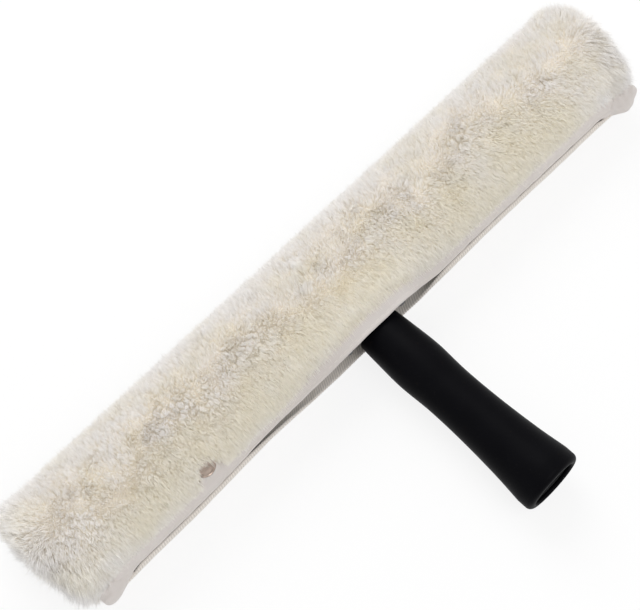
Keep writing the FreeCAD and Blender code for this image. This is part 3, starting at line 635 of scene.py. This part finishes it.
def fibre_tree():
    """Fibres on a patch: each leans with the comb, gathers with its wisp and bows over to its tip."""
    tree, given = new_tree("plush_fibres", {
        "Fibres per square metre": 6.0e6, "Wisps per square metre": 2.3e5, "Width": 0.00036, "Gather": 0.62,
        "Toss": 0.55, "Swirl": 0.75, "Unevenness": 0.08, "Floor": 0.0001, "Seed": 0,
    })

    def store(geometry, label, value, kind="FLOAT_VECTOR"):
        return wire("GeometryNodeStoreNamedAttribute", {
            "Geometry": geometry, "Name": label, "Value": value,
        }, data_type=kind)

    def scattered(density, seed):
        return fed("GeometryNodeDistributePointsOnFaces", {
            "Mesh": given["Geometry"], "Density": times(density, named(tree, "thick", "FLOAT")), "Seed": seed,
        }).outputs["Points"]

    def cloud(scale, detail, shift):
        spot = vector_plus(position, (shift, shift * 0.7, 0.0))
        node = fed("ShaderNodeTexNoise", {"Vector": spot, "Scale": scale, "Detail": detail})
        return node.outputs["Fac"], vector_minus(node.outputs["Color"], (0.5, 0.5, 0.5))

    def draw(low, high, seed_shift):
        return fed("FunctionNodeRandomValue", {
            2: low, 3: high, "Seed": plus(given["Seed"], seed_shift),
        }, data_type="FLOAT").outputs[1]

    def draw_vector(size, seed_shift):
        return wire("FunctionNodeRandomValue", {
            0: (-size,) * 3, 1: (size,) * 3, "Seed": plus(given["Seed"], seed_shift),
        }, data_type="FLOAT_VECTOR")

    position = add(tree, "GeometryNodeInputPosition").outputs[0]
    reach, tuft = named(tree, "reach"), named(tree, "tuft", "FLOAT")
    length, upright = vector_of("LENGTH", reach), vector_of("NORMALIZE", reach)
    # lean of the pile: broad swirls, smaller whorls and the comb, all across the fibre's own upright
    _, broad = cloud(*BROAD_SWIRL)
    _, small = cloud(*SMALL_SWIRL)
    swirl = vector_plus(scaled(broad, BROAD_SIZE), scaled(small, SMALL_SIZE))
    tufted = times(length, tuft)
    drift = vector_plus(named(tree, "comb"), scaled(swirl, times(tufted, given["Swirl"])))
    lean = vector_minus(drift, scaled(upright, vector_of("DOT_PRODUCT", drift, upright)))
    tufts, _ = cloud(*TUFT_CLOUD)
    rise = plus(1.0, times(minus(tufts, TUFT_MIDDLE), times(given["Unevenness"], 4.0)))
    own_tip = vector_plus(position, vector_plus(scaled(reach, rise), lean))

    tossed = scaled(draw_vector(1.0, 9), times(tufted, given["Toss"]))
    wisps = scattered(given["Wisps per square metre"], given["Seed"])
    wisps = store(wisps, "tip_at", vector_plus(own_tip, tossed))
    fibres = scattered(given["Fibres per square metre"], plus(given["Seed"], 1))
    nearest = wire("GeometryNodeSampleNearest", {"Geometry": wisps, "Sample Position": position})
    gathered = wire("GeometryNodeSampleIndex", {
        "Geometry": wisps, "Value": named(tree, "tip_at"), "Index": nearest,
    }, data_type="FLOAT_VECTOR")
    pull = times(given["Gather"], tuft, draw(*PULL_RANGE, 2))
    towards = vector_plus(own_tip, scaled(vector_minus(gathered, own_tip), pull))
    free_tip = vector_plus(towards, scaled(draw_vector(TIP_SPREAD, 3), length))
    # most fibres end level and a few stand out
    stray = draw(0.0, 1.0, 4)
    full = plus(times(stray, LENGTH_SPREAD), times(math_of("POWER", stray, STRAY_RARITY), STRAY_LENGTH))
    fibres = store(fibres, "chord", scaled(vector_minus(free_tip, position), plus(full, LENGTH_LOW)))
    chord = named(tree, "chord")
    middle = vector_plus(scaled(upright, times(length, BOW_RISE)), scaled(draw_vector(BOW_SPREAD, 5), length))
    fibres = store(fibres, "bow", vector_minus(middle, scaled(chord, 0.5)))
    fibres = store(fibres, "shade", draw(0.0, 1.0, 6), "FLOAT")

    # one fibre: a tapering blade of two steps
    sheet = add(tree, "GeometryNodeMeshGrid", {"Vertices X": 2, "Vertices Y": 3})
    x, y, z = split(position)
    blade = store(sheet.outputs["Mesh"], "tip", plus(y, 0.5), "FLOAT")
    tip = named(tree, "tip", "FLOAT")
    taper = minus(1.0, math_of("POWER", tip, BLADE_TAPER))
    blade = moved(blade, Position=joined(times(x, taper), 0.0, tip))
    blade = wire("GeometryNodeMergeByDistance", {"Geometry": blade, "Distance": 0.001})

    turned = wire("FunctionNodeAxesToRotation", {
        "Primary Axis": chord, "Secondary Axis": vector_plus(upright, draw_vector(FACING_SPREAD, 7)),
    }, primary_axis="Z", secondary_axis="Y")
    width = times(given["Width"], draw(*WIDTH_RANGE, 8))
    size = joined(width, width, vector_of("LENGTH", chord))
    planted = wire("GeometryNodeInstanceOnPoints", {
        "Points": fibres, "Instance": blade, "Rotation": turned, "Scale": size,
    })
    real = wire("GeometryNodeRealizeInstances", {"Geometry": planted})
    arch = times(tip, 2.0, minus(1.0, tip))
    bent = moved(real, Offset=scaled(named(tree, "bow"), arch))
    # no fibre goes through the floor that the sleeve lies on: those pressed flat lie over each other
    lie = plus(given["Floor"], times(named(tree, "shade", "FLOAT"), LYING_SPREAD))
    bent = moved(bent, Position=joined(x, y, math_of("MAXIMUM", z, lie)))
    return end_tree(bent, given["Material"])


FIBRE_POINTS = 5


def fibre_map(mesh):
    """Give each fibre a cell of its own on a UV map, OFBake."""
    vertex = corner_points(mesh)
    tip = np.empty(len(mesh.vertices), np.float32)
    mesh.attributes["tip"].data.foreach_get("value", tip)
    fibre = vertex // FIBRE_POINTS
    across = math.ceil(math.sqrt(len(mesh.vertices) / FIBRE_POINTS))
    side = np.where(tip[vertex] > 0.9, 0.5, (vertex % FIBRE_POINTS) // 3)
    u = (fibre % across + 0.2 + 0.6 * side) / across
    v = (fibre // across + 0.1 + 0.8 * tip[vertex]) / across
    add_map(mesh, "OFBake", np.column_stack([u, v]))


FIBRES = fibre_tree()
SPLIT_STEP = int(np.argmin(np.abs(GROUND_GRID[:, 0, 0] - SNAP_X)))
LEFT, RIGHT, WHOLE = (0, SPLIT_STEP), (SPLIT_STEP, LAST_STEP), (0, LAST_STEP)
# strips of pile: first and last row, steps along the bar, fibres per square metre, seed
PILE_STRIPS = {
    "pile_front_left": ((0, 2), LEFT, 7.0e6, 11),
    "pile_front_right": ((0, 2), RIGHT, 7.0e6, 23),
    "pile_brow_left": ((2, 3.4), LEFT, 7.0e6, 29),
    "pile_brow_right": ((2, 3.4), RIGHT, 7.0e6, 31),
    "pile_crown_front": ((3.4, 4.7), WHOLE, 7.0e6, 37),
    "pile_crown": ((4.7, 6.0), WHOLE, 7.0e6, 41),
    "pile_shoulder": ((6.0, 7.5), WHOLE, 7.0e6, 53),
    "pile_nose": ((7.5, 9.2), WHOLE, 7.0e6, 67),
    "pile_heel": ((9.2, 11.5), WHOLE, 5.5e6, 71),
    "pile_sole": ((11.5, 17), WHOLE, 3.0e6, 83),
}
BENT_STRIPS = tuple(PILE_STRIPS)[:4]  # those beside the snap, which keep a foot of undercoat of their own
pile, feet = {}, {}
for label, (rows, steps, density, seed) in PILE_STRIPS.items():
    patch = ground_patch(label + "_ground", rows, steps)
    if label in BENT_STRIPS:
        feet[label] = placed(label + "_foot", patch.data.copy())
        feet[label].data.materials.append(UNDERCOAT_WOOL)
    strip = grown(patch, FIBRES, label, {
        "Fibres per square metre": density, "Seed": seed, "Material": PLUSH,
    })
    fibre_map(strip.data)
    for spare in ("reach", "comb", "thick", "tuft", "chord", "bow", "tip_at"):
        if spare in strip.data.attributes:
            strip.data.attributes.remove(strip.data.attributes[spare])
    pile[label] = strip

sleeve_faces = grid_faces(*GROUND_GRID.shape[:2])
backing = new_piece("pile_ground", GROUND_GRID, sleeve_faces, GROUND)
sunk = GROUND_GRID + UNDERCOAT_SINK * (ROOT_GRID - GROUND_GRID)
undercoat = new_piece("pile_undercoat", sunk, sleeve_faces, UNDERCOAT_WOOL)


# hem tapes

def tape_frame(x, front):
    """Edge at the slit, direction across the tape and outward normal, for each place along the bar."""
    sign = 1.0 if front else -1.0
    neck_edge, neck_lean = (FRONT_NECK_EDGE, FRONT_NECK_LEAN) if front else (REAR_NECK_EDGE, REAR_NECK_LEAN)
    share = neck_share(x)
    lean = np.radians(HEM_LEAN + (neck_lean - HEM_LEAN) * share)
    rise = SLIT_HALF + (NECK_RISE - SLIT_HALF) * share
    edge = HEM_EDGE + (neck_edge - HEM_EDGE) * share
    bow = sum(depth * np.exp(-((x - middle) / reach) ** 2) for depth, middle, reach in HEM_BOWS)
    edge = edge - bow + (0.0 if front else REAR_LIP * (1 - share) ** 2)
    start = np.column_stack([x, BAR_Y - edge, BAR_Z + sign * rise])
    across = np.column_stack([np.zeros_like(x), np.cos(lean), sign * np.sin(lean)])
    out = np.column_stack([np.zeros_like(x), -np.sin(lean), sign * np.cos(lean)])
    return start, across, out


def hem_lift(x, u, v, front):
    """Width and height on a tape, moved to where the slit lies beside the neck."""
    shut = (1 - neck_share(x)) * ramp(TAPE_END, TAPE_END - LIFT_FADE, abs(x))
    if front:
        return u + FRONT_LIFT * shut * np.clip(1 - u / FRONT_LIFT_WIDTH, 0, 1), v
    turned = shut * np.clip(1 - u / REAR_FOLD_WIDTH, 0, 1)
    fold = REAR_FOLD_INNER + (REAR_FOLD_OUTER - REAR_FOLD_INNER) * np.clip(v / TAPE_THICK, 0, 1)
    return u - REAR_LIFT * turned, v - fold * turned ** 2


def waver(x, seed, size):
    """A slow unevenness along the bar."""
    draws = np.random.default_rng(seed)
    total = np.zeros_like(x)
    for wave in WAVER_WAVES:
        total += draws.uniform(*WAVER_SIZES) * np.sin(FULL_TURN * x / wave + draws.uniform(0, PHASES))
    return total * size / WAVER_LEVEL


def tape_piece(name, points, finish, along, across, ends=(True, True)):
    """A piece of tape from its rings of points; its UV map holds their run and width, in metres."""
    piece = outward(new_piece(name, points, tube_faces(*points.shape[:2], ends), finish))
    vertex = corner_points(piece.data)
    add_map(piece.data, "weave", np.column_stack([along.ravel()[vertex], across.ravel()[vertex]]) * MM)
    return piece


# sections of the tapes, as width from the slit and height: the folded binding in front, a flat band behind
FRONT_FOLD = (
    (0.0, 0.62), (0.12, 1.02), (0.5, 1.32), (1.1, 1.42), (1.7, 1.4), (2.15, 1.3), (2.45, 1.27), (2.75, 1.31),
    (3.3, 1.4), (4.4, 1.5), (5.8, 1.55), (7.4, 1.5), (8.8, 1.42), (9.7, 1.3), (10.25, 1.05), (10.5, 0.66),
    (10.3, 0.2), (9.4, 0.02), (7.0, 0.0), (4.0, 0.0), (1.4, 0.02), (0.25, 0.16),
)
REAR_BAND = (
    (0.0, 0.62), (0.15, 1.02), (0.6, 1.26), (1.5, 1.3), (3.0, 1.3), (5.0, 1.3), (7.5, 1.3), (9.2, 1.3),
    (9.95, 1.25), (10.4, 1.0), (10.5, 0.62), (10.38, 0.25), (9.9, 0.03), (8.5, 0.0), (7.0, 0.0), (5.5, 0.0),
    (4.0, 0.0), (2.8, 0.0), (1.8, 0.0), (1.0, 0.02), (0.4, 0.08), (0.12, 0.28),
)
FRONT_SEAM, REAR_SEAM = (2.45, 1.26), (8.3, 1.32)
TAPE_LIFT, TAPE_SWAY, TAPE_FACE = 0.10, 0.12, (0.3, 1.0)  # unevenness, and heights that its lift grows over


def tape_band(name, x, front, fold, finish, seed, ends=(True, True)):
    """A tape swept along the bar; the fold gives its closed section, and ends says which ends are closed."""
    start, across, out = tape_frame(x, front)
    fold = np.array(fold)
    lift, sway = waver(x, seed, TAPE_LIFT), waver(x, seed + 1, TAPE_SWAY)
    u, v = hem_lift(x[:, None], fold[None, :, 0], fold[None, :, 1], front)
    u = u + sway[:, None]
    v = v + lift[:, None] * ramp(*TAPE_FACE, fold[:, 1])
    points = start[:, None] + u[..., None] * across[:, None] + v[..., None] * out[:, None]
    rows, columns = u.shape
    run, girth = np.repeat(run_along(start), columns), np.tile(run_along(fold), rows)
    band = tape_piece(name, points, finish, run, girth, ends)
    for end in band.data.polygons[(rows - 1) * columns:]:
        end.use_smooth = False
    return band


def rib_tree():
    """Slanted twill ribs raised on a tape, from its weave map."""
    tree, given = new_tree("twill_ribs", {"Pitch": RIB_PITCH, "Height": 0.00016, "Slant": RIB_SLANT})
    along, across, _ = split(named(tree, "weave"))
    turns = math_of("DIVIDE", plus(along, times(across, given["Slant"])), given["Pitch"])
    wave = math_of("SINE", times(turns, FULL_TURN))
    normal = add(tree, "GeometryNodeInputNormal").outputs[0]
    raised = moved(given["Geometry"], Offset=scaled(normal, times(wave, given["Height"])))
    return end_tree(raised, given["Material"])


def stitch_tree():
    """Stitches laid end to end along a drawn line."""
    tree, given = new_tree("sewn_line", {"Pitch": 0.0032, "Stitch length": 0.0024, "Thread": 0.00032})
    curve = wire("GeometryNodeMeshToCurve", {"Mesh": given["Geometry"]})
    spaced = fed("GeometryNodeResampleCurve", {"Curve": curve, "Length": given["Pitch"]}, mode="LENGTH")
    tangent = add(tree, "GeometryNodeInputTangent").outputs[0]
    turned = wire("FunctionNodeAlignRotationToVector", {"Vector": tangent}, axis="X")
    knot = add(tree, "GeometryNodeMeshIcoSphere", {"Radius": 0.5, "Subdivisions": 2}).outputs[0]
    size = joined(given["Stitch length"], given["Thread"], given["Thread"])
    laid = wire("GeometryNodeInstanceOnPoints", {
        "Points": spaced.outputs[0], "Instance": knot, "Rotation": turned, "Scale": size,
    })
    return end_tree(laid, given["Material"])


STITCHES = stitch_tree()
RIBS = rib_tree()


def sewn_line(name, x, front, seam):
    """A line of stitches along a tape, at this width and height on it."""
    start, across, out = tape_frame(x, front)
    width, height = (part[:, None] for part in hem_lift(x, *(np.full_like(x, part) for part in seam), front))
    points = start + width * across + height * out
    line = bpy.data.meshes.new(name + "_line")
    line.from_pydata((points * MM).tolist(), [(i, i + 1) for i in range(len(points) - 1)], [])
    return grown(placed(name + "_line", line), STITCHES, name, {"Material": THREAD})


left_x = np.linspace(-TAPE_END, SNAP_X, 60)
right_x = np.linspace(SNAP_X, TAPE_END, 230)
rear_x = np.linspace(-TAPE_END, TAPE_END, 1330)
front_left = tape_band("front_tape_left", left_x, True, FRONT_FOLD, FRONT_TAPE, 5, (True, False))
front_right = tape_band("front_tape_right", right_x, True, FRONT_FOLD, FRONT_TAPE, 5, (False, True))
stitches_left = sewn_line("front_stitches_left", left_x[:-1], True, FRONT_SEAM)
stitches_right = sewn_line("front_stitches_right", right_x[1:], True, FRONT_SEAM)
rear_plain = tape_band("rear_tape_plain", rear_x, False, REAR_BAND, REAR_TAPE, 9)
rear_tape = grown(rear_plain, RIBS, "rear_tape", {"Material": REAR_TAPE})
rear_stitches = sewn_line("rear_stitches", rear_x[6:-6:4], False, REAR_SEAM)


# lug of the front tape under the cap, and the tongue behind it

def by_snap(x, up, out):
    """Points in mm from their places along the bar, across the hem and out of it, counted from the snap."""
    return SNAP_PLACE + x[..., None] * ALONG_BAR + up[..., None] * SNAP_UP + out[..., None] * SNAP_AXIS


LUG_STEPS = ((0.97, 0.25), (1.0, 0.5), (1.0, 0.95), (0.96, 1.2), (0.6, 1.3))  # share of its outline, height


def snap_lug(name):
    """The rounded lug, from the tape's upper edge up round the snap."""
    half = TAPE_WIDTH / 2
    foot = TAPE_WIDTH - SNAP_RISE - 2.0
    outline = [(-half, foot / 2), (-half, foot), (0.0, foot), (half, foot), (half, foot / 2)]
    outline += [(half * math.cos(t), half * math.sin(t)) for t in np.linspace(0, math.pi, 27)]
    middle = np.array((0.0, (foot + half) / 2))
    across = np.array([middle + (np.array(outline) - middle) * share for share, _ in LUG_STEPS])
    heights = np.array([height for _, height in LUG_STEPS])[:, None]
    x, up = across[..., 0], across[..., 1]
    return tape_piece(name, by_snap(x, up, heights), FRONT_TAPE, x + 20.0, up + 20.0)


lug = snap_lug("snap_lug")

TONGUE_SKIN, TONGUE_FACE = 0.1, 2.6
TONGUE_HALF, TONGUE_ROUND, TONGUE_LEAST = TAPE_WIDTH / 2, TAPE_WIDTH / 2 - 0.1, 0.3
TONGUE_REAR, TONGUE_FRONT = (10.4, 8.6, 6.8, 5.0, 3.6), (-10.2, -8.0, -5.0, -2.0, 1.0, 3.2, 5.2)
TONGUE_SQUARE = 0.35


def tongue_path():
    """The tongue's middle line: up inside the rear tape, then behind the front tape to the stud."""
    depth = TONGUE_SKIN + TAPE_THICK / 2
    path = []
    for along in TONGUE_REAR:
        apart = np.array((
            SNAP_X,
            BAR_Y - HEM_EDGE + along * HEM_COS + depth * HEM_SIN,
            BAR_Z - SLIT_HALF - along * HEM_SIN + depth * HEM_COS,
        )) - SNAP_PLACE
        path.append((apart @ SNAP_UP, apart @ SNAP_AXIS))
    return path + [(along, -TONGUE_FACE - TAPE_THICK / 2) for along in TONGUE_FRONT]


def snap_tongue(name):
    """A strip of tape along that line, rounded at its tip."""
    path = tongue_path()
    path = through(path, np.linspace(0, len(path) - 1, 40))
    tangent = np.gradient(path, axis=0)
    tangent /= np.linalg.norm(tangent, axis=1, keepdims=True)
    side = np.column_stack([-tangent[:, 1], tangent[:, 0]])
    run = run_along(path)
    left = run[-1] - run
    half = np.full(len(path), TONGUE_HALF)
    tip = left < TONGUE_ROUND
    half[tip] = np.sqrt(np.maximum(TONGUE_ROUND ** 2 - (TONGUE_ROUND - left[tip]) ** 2, TONGUE_LEAST ** 2))
    turn = np.linspace(0, FULL_TURN, 24, endpoint=False)
    wide = half[:, None] * boxy(np.cos(turn), TONGUE_SQUARE)
    thick = boxy(np.sin(turn), TONGUE_SQUARE) * TAPE_THICK / 2
    local = path[:, None] + thick[None, :, None] * side[:, None]
    points = by_snap(wide, local[..., 0], local[..., 1])
    return tape_piece(name, points, REAR_TAPE, np.repeat(run, len(turn)), wide + 10.0)


tongue = snap_tongue("snap_tongue_tape")


# folded tape ends at the two corners

# each row: share of the way from the ear's root to its tip, lowest and highest place across, plumpness
ROUND_EAR = (
    (0.0, -24.9, -24.3, 0.15), (0.05, -25.4, -22.6, 0.8), (0.2, -26.0, -21.2, 1.1),
    (0.42, -27.3, -20.4, 1.3), (0.62, -28.6, -20.2, 1.45), (0.8, -28.9, -20.6, 1.35),
    (0.92, -28.2, -21.4, 1.05), (0.985, -26.9, -22.8, 0.6), (1.0, -25.2, -24.9, 0.1),
)
POINTED_EAR = (
    (0.0, -24.9, -24.3, 0.15), (0.06, -25.4, -22.6, 0.8), (0.2, -26.0, -20.8, 1.1),
    (0.34, -28.2, -19.8, 1.3), (0.48, -30.4, -19.2, 1.45), (0.62, -30.4, -19.0, 1.45),
    (0.78, -28.8, -20.2, 1.3), (0.91, -27.4, -22.4, 1.0), (0.98, -26.4, -24.0, 0.5), (1.0, -25.6, -25.1, 0.1),
)
EAR_ROOT, EAR_RINGS, EAR_SIDES = 149.0, 65, 64
EAR_THICK, EAR_SLOPE, EAR_EDGE = 1.25, 0.42, -30.0  # half its thickness at the edge, and its growth inwards
EAR_CREASE, CREASE_WAVE, EAR_SQUARE = 0.22, 5.5, (0.6, 0.75)


def corner_ear(name, side, tip, rows, seed):
    """The tapes' ends, folded together into a soft lump at the corner of the hem, out to this place in mm."""
    share, low, high, plump = through(rows, np.linspace(0, len(rows) - 1, EAR_RINGS)).T[..., None]
    turn = np.linspace(0, FULL_TURN, EAR_SIDES, endpoint=False)[None]
    x = EAR_ROOT + (tip - EAR_ROOT) * share + np.zeros_like(turn)
    y = (low + high) / 2 + (high - low) / 2 * boxy(np.cos(turn), EAR_SQUARE[0])
    wedge = EAR_THICK + EAR_SLOPE * (y - EAR_EDGE)
    z = plump * wedge * boxy(np.sin(turn), EAR_SQUARE[1])
    creases = lumps(np.stack([x, y, z], axis=2), EAR_CREASE, seed, CREASE_WAVE)
    z = z * (1 + creases)
    y = y + 0.5 * creases
    points = np.stack([side * x, BAR_Y + y, BAR_Z + z], axis=2)
    return tape_piece(name, points, FRONT_TAPE, x + z, y + 40.0)


ear_left = corner_ear("corner_ear_left", -1.0, 166.5, ROUND_EAR, 32)
ear_right = corner_ear("corner_ear_right", 1.0, 172.6, POINTED_EAR, 31)


# turned pieces

def turned_piece(name, profile, finish, origin, axis, segments):
    """A closed profile of (radius, height) turned about an axis; points on the axis close its poles."""
    profile, axis = np.array(profile, float), np.array(axis, float)
    turn = np.linspace(0, FULL_TURN, segments, endpoint=False)[:, None]
    ring = np.cos(turn) * ALONG_BAR + np.sin(turn) * np.cross(axis, ALONG_BAR)
    points = np.array(origin) + profile[:, None, :1] * ring + profile[:, None, 1:] * axis
    return outward(new_piece(name, points, grid_faces(len(profile), segments, True, True), finish))


GRIP_STATIONS = (
    (22.5, 11.2), (33.0, 11.9), (48.0, 12.6), (65.0, 11.9), (84.0, 12.3), (104.0, 13.6), (118.5, 15.2),
)
GRIP_END, LIP_ROUND, MOUTH_RADIUS, MOUTH_ROUND = 125.5, 2.6, 11.3, 1.0
CORE_RADIUS, CORE_MOUTH_RADIUS, CORE_END, GRIP_FIT = 9.6, 12.0, 123.5, 0.06
CONE_START, CONE_END = 76.0, 99.0


def grip_profile():
    """Section of the grip: outside, rounded lip, mouth, and the inside that holds the core."""
    places, radii = zip(*GRIP_STATIONS)
    curve = through(GRIP_STATIONS, np.linspace(0, len(places) - 1, 300))
    at = np.linspace(places[0] + 0.5, places[-1], 74)
    rim, lip, mouth = radii[-1], GRIP_END - LIP_ROUND, GRIP_END - MOUTH_ROUND
    profile = [(radii[0] - 0.5, places[0]), (radii[0] - 0.15, places[0] + 0.15)]
    profile += zip(np.interp(at, *curve.T), at)
    profile += [(rim, place) for place in np.linspace(places[-1] + 0.8, lip, 5)]
    for t in np.linspace(0, math.pi / 2, 12)[1:]:
        profile.append((rim - LIP_ROUND + LIP_ROUND * math.cos(t), lip + LIP_ROUND * math.sin(t)))
    for t in np.linspace(0, math.pi / 2, 9):
        radius = MOUTH_RADIUS + MOUTH_ROUND - MOUTH_ROUND * math.sin(t)
        profile.append((radius, mouth + MOUTH_ROUND * math.cos(t)))
    wide, narrow, floor = CORE_MOUTH_RADIUS + GRIP_FIT, CORE_RADIUS + GRIP_FIT, CORE_END + GRIP_FIT
    return profile + [
        (MOUTH_RADIUS, floor), (wide, floor), (wide, CONE_END), (narrow, CONE_START), (narrow, places[0]),
    ]


CAP_PROFILE = (
    (0.0, 3.2), (0.6, 3.19), (1.4, 3.13), (2.2, 3.0), (2.9, 2.8), (3.35, 2.6), (3.6, 2.47), (3.75, 2.44),
    (3.9, 2.5), (4.1, 2.64), (4.3, 2.68), (4.5, 2.6), (4.66, 2.4), (4.74, 2.1), (4.7, 1.78), (4.55, 1.52),
    (4.3, 1.4), (3.0, 1.36), (1.4, 1.36), (1.4, -0.66), (1.7, -0.68), (1.7, -0.86), (1.3, -0.9), (0.0, -0.9),
)
grip = turned_piece("grip_sleeve", grip_profile(), RUBBER, (0, BAR_Y, BAR_Z), (0, -1, 0), 128)
cap = turned_piece("snap_cap_face", CAP_PROFILE, NICKEL, SNAP_PLACE, SNAP_AXIS, 72)

# finishes of the pieces that keep their own shape
for finish, nodes in (
    (ALUMINIUM, ("crossbar",)),
    (PLASTIC, ("end_plug_left", "end_plug_right", "handle_yoke")),
    (BLACK_STEEL, ("yoke_screws", "yoke_washers", "nut_plate")),
    (NICKEL, ("snap_stud", "snap_rivet", "snap_socket", "snap_spring")),
):
    for node in nodes:
        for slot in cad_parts[node].material_slots:
            slot.material = finish

# what each piece rides on, and the part it stands for, which is hidden, with that part's finish slot
BEND_LEFT, BEND_RIGHT = (-150.0, -105.0), (-48.0, -92.0)  # the bend's far and near end
BROW_FOOT, BROW_TOP = SECTION[2, :2] + BAR, np.array((-8.3, 16.3)) + BAR


def beside_snap(piece, left, brow=False):
    """Work out the rise of a bend beside the snap, and for a brow also towards its top, which is not used;
    bake the transform.
    """
    far, near = BEND_LEFT if left else BEND_RIGHT
    rise = np.array((1 / (near - far), 0.0, 0.0))
    if brow:
        rise[1:] = (BROW_FOOT - BROW_TOP) / ((BROW_TOP - BROW_FOOT) ** 2).sum()
    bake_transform(piece)


for piece, left in ((front_left, True), (front_right, False), (stitches_left, True), (stitches_right, False)):
    beside_snap(piece, left)
for label in BENT_STRIPS:
    for piece in (pile[label], feet[label]):
        beside_snap(piece, label.endswith("left"), "brow" in label)
for piece in [backing, undercoat, rear_tape, rear_stitches, tongue, ear_left, ear_right] + [
    strip for label, strip in pile.items() if label not in BENT_STRIPS
]:
    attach(piece, "sleeve")
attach(grip, "t_bar")
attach(cap, "snap_half")
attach(lug, "snap_half")

for pieces, node, slot in (
    ([backing, undercoat, *feet.values(), *pile.values()], "pile_sleeve", "cream_pile"),
    ([front_left, front_right, lug, stitches_left, stitches_right], "front_hem_tape", "cotton_tape"),
    ([rear_tape, rear_stitches], "rear_hem_tape", "cotton_tape"),
    ([tongue], "snap_tongue", "cotton_tape"),
    ([ear_left], "corner_tab_left", "cotton_tape"),
    ([ear_right], "corner_tab_right", "cotton_tape"),
    ([grip], "grip", "black_rubber"),
    ([cap], "snap_cap", "nickel"),
):
    for piece in pieces:
        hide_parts(node)


# camera, light and floor

WHITE = (1, 1, 1, 1)


def look_from(location, forward, up, lens):
    """The camera, from its place in mm and the directions it looks and stands in."""
    data = bpy.data.cameras.new("camera")
    data.lens, data.sensor_width = lens, 36.0
    forward = Vector(forward).normalized()
    right = forward.cross(Vector(up)).normalized()
    turn = Matrix((right, right.cross(forward), -forward)).transposed().to_4x4()
    camera = placed("camera", data)
    camera.matrix_world = Matrix.Translation(Vector(location) * MM) @ turn
    bpy.context.scene.camera = camera


def soft_lamp(name, place, target, size, watts):
    data = bpy.data.lights.new(name, "AREA")
    data.shape, data.size, data.energy = "DISK", size, watts
    lamp = placed(name, data)
    lamp.location = place
    lamp.rotation_euler = (Vector(target) - Vector(place)).to_track_quat("-Z", "Y").to_euler()


def seen_directly(tree):
    """1 for what the camera sees, straight, in a mirror or through glass."""
    path = add(tree, "ShaderNodeLightPath").outputs
    straight = math_of("MAXIMUM", path["Is Camera Ray"], path["Is Glossy Ray"])
    return math_of("MAXIMUM", straight, path["Is Transmission Ray"])


def white_world(strength):
    world = bpy.data.worlds.new("studio")
    world.use_nodes = True
    bpy.context.scene.world = world
    tree = world.node_tree
    lit = tree.nodes["Background"]
    feed(lit, {"Color": WHITE, "Strength": strength})
    seen = add(tree, "ShaderNodeBackground", {"Color": WHITE, "Strength": 1.0})
    shader_mix(tree.nodes["World Output"], seen_directly(tree), lit, seen)


def pale_floor(height, half, glow):
    """A floor that lights the object as matte and shows nearly white; glow is the share of that white."""
    corners = [(-half, -half, height), (half, -half, height), (half, half, height), (-half, half, height)]
    finish = bpy.data.materials.new("pale_floor")
    finish.use_nodes = True
    tree = finish.node_tree
    tree.nodes.remove(tree.nodes["Principled BSDF"])
    matte = add(tree, "ShaderNodeBsdfDiffuse", {"Color": (0.92, 0.92, 0.92, 1)})
    white = add(tree, "ShaderNodeEmission", {"Color": WHITE, "Strength": 1.0})
    shader_mix(tree.nodes["Material Output"], times(seen_directly(tree), glow), matte, white)
    new_piece("floor", corners, [(0, 1, 2, 3)], finish)


look_from((-154.60, -147.73, 570.02), (0.2389, 0.3263, -0.9146), (0.6663, 0.6300, 0.3989), 75.94)
soft_lamp("key", (0.3, 0.8, 0.9), (0, 0.03, 0.02), 0.9, 7.8)
soft_lamp("fill", (0.1, -0.62, 1.05), (0, 0.02, 0.02), 0.8, 3.75)
white_world(0.58)
pale_floor(-0.3, 8000.0, 0.84)
bpy.context.scene.view_settings.view_transform = "Standard"
bpy.context.scene.cycles.diffuse_bounces = 10  # light goes deep into pale pile
